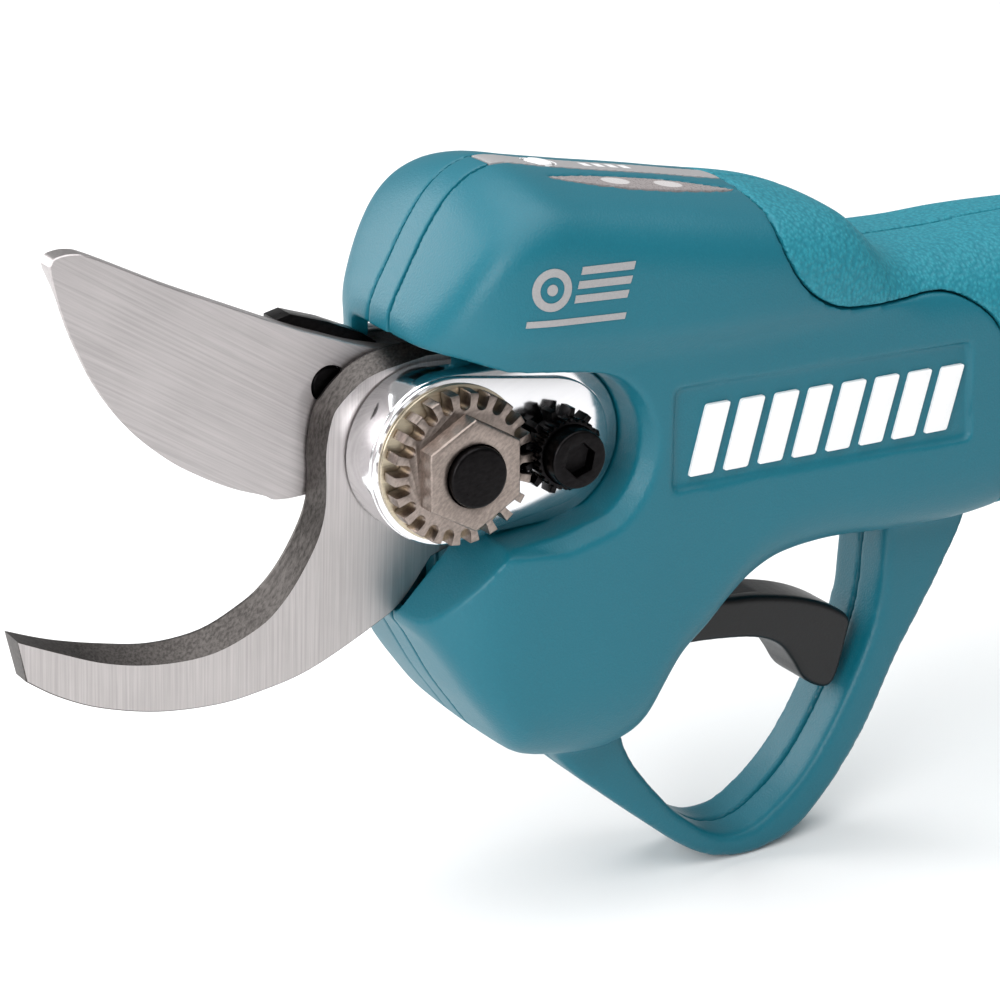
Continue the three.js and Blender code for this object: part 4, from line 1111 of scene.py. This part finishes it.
steel("blade_steel", (0.5, 0.47, 0.47), 0.3, 148, 60)
steel("hook_steel", (0.5, 0.47, 0.465), 0.32, 88, 60)
# The ground edge's coarser grind is real; its very dark colour is painted shade on the hollow edge.
steel("ground_edge", (0.12, 0.11, 0.105), 0.36, 60, 3, scale=2400, depth=0.00003, wear=0.6)
steel("polished_steel", (0.86, 0.86, 0.88), 0.08, 20, 12, scale=1500, depth=0.000002, wear=0.06, spread=0.1)
steel("nickel_steel", (0.33, 0.275, 0.245), 0.26, 40, 2, scale=2200, depth=0.00002, wear=0.4)
steel("black_steel", (0.014, 0.013, 0.0135), 0.22, 10, 2, scale=1800, depth=0.00002, wear=0.4, spread=0.2)
steel("bush_brass", (0.55, 0.48, 0.36), 0.25, 0, 20, depth=0.000006)
steel("gear_steel", (0.6, 0.59, 0.58), 0.24, 0, 4, depth=0.00001)
steel("frame_alloy", (0.7, 0.7, 0.72), 0.4, 0, 1, scale=3400, depth=0.00003)
steel("copper_winding", (0.62, 0.25, 0.12), 0.3, 90, 30, scale=1400, depth=0.0001)
steel("magnet_nickel", (0.55, 0.53, 0.5), 0.2, 0, 2, depth=0.000004)
steel("cell_wrap", (0.2, 0.32, 0.4), 0.35, 90, 8, scale=1200, depth=0.00001)

# %% [markdown]
# Each piece gets the finish of its slot. The counter blade's flat is brushed upright and its hollow edge
# is coarser and painted darker, a painted shade, so that piece has two finishes, told apart by where its
# faces look.

# %% Giving out the finishes
slot_of = {part["node"]: part["material_slot"] for part in frame["record"]["subparts"]}
for name, node in frame["nodes"].items():
    node.data.materials.clear()
    node.data.materials.append(FINISHES[slot_of[name]].material)
for piece in [o for o in bpy.data.objects if "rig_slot" in o]:
    piece.data.materials.clear()
    piece.data.materials.append(FINISHES[piece["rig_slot"]].material)


FACING_ASIDE = 0.96
hook.data.materials.clear()
for name in ("hook_steel", "ground_edge"):
    hook.data.materials.append(FINISHES[name].material)
# Faces that don't look aside, the hollow edge, get the darker ground finish, whose darkness is painted shade.
for face in hook.data.polygons:
    face.material_index = int(abs(face.normal.y) < FACING_ASIDE)
print("finishes:", len(FINISHES))

# %% [markdown]
# ## Stage
# A plain pale floor, a pale surround and three soft lights: a wide one overhead, a small one low at the
# left front, and one from the left rear that draws the top edges.

# %% Camera, floor and lights
def looking(thing, place, target):
    thing.location = place
    thing.rotation_euler = (target - place).to_track_quat("-Z", "Y").to_euler()
    bpy.context.scene.collection.objects.link(thing)
    return thing


TURN, RISE = math.radians(-30), math.radians(19.5)
AIM = PIVOT + 0.001 * Vector((2.23, -25.59, -3.24))
AWAY = 0.5
back_from_aim = Vector((math.sin(TURN) * math.cos(RISE), -math.cos(TURN) * math.cos(RISE), math.sin(RISE)))
lens_data = bpy.data.cameras.new("camera")
lens_data.sensor_width, lens_data.lens = 36, 116.1
lens_data.clip_start = 0.02
bpy.context.scene.camera = looking(bpy.data.objects.new("camera", lens_data), AIM + AWAY * back_from_aim, AIM)

bm = bmesh.new()
bmesh.ops.create_circle(bm, cap_ends=True, radius=6, segments=64)
floor = as_object(bm, "floor")
ground = finish("floor_paper", {"Roughness": 0.9})
ground.wire(base_color=ground.tint(ground.noise(3, 2), (0.88, 0.88, 0.88), (0.9, 0.9, 0.9)))
floor.data.materials.append(ground.material)

world = bpy.data.worlds.new("studio")
bpy.context.scene.world = world
world.use_nodes = True
surround = world.node_tree.nodes["Background"]
surround.inputs["Color"].default_value = (1, 1, 1, 1)
surround.inputs["Strength"].default_value = 0.35
# name, place, size in metres, power in watts
LIGHTS = [("top", (-0.2, -0.1, 1.5), 2.2, 37), ("left_front", (-0.7, -0.45, 0.36), 0.4, 4),
          ("left_rear", (-0.75, 1.0, 0.5), 0.8, 9)]
for name, place, size, power in LIGHTS:
    light = bpy.data.lights.new(name, "AREA")
    light.size, light.energy = size, power
    looking(bpy.data.objects.new(name, light), Vector(place), PIVOT)
bpy.context.scene.view_settings.view_transform = "Standard"
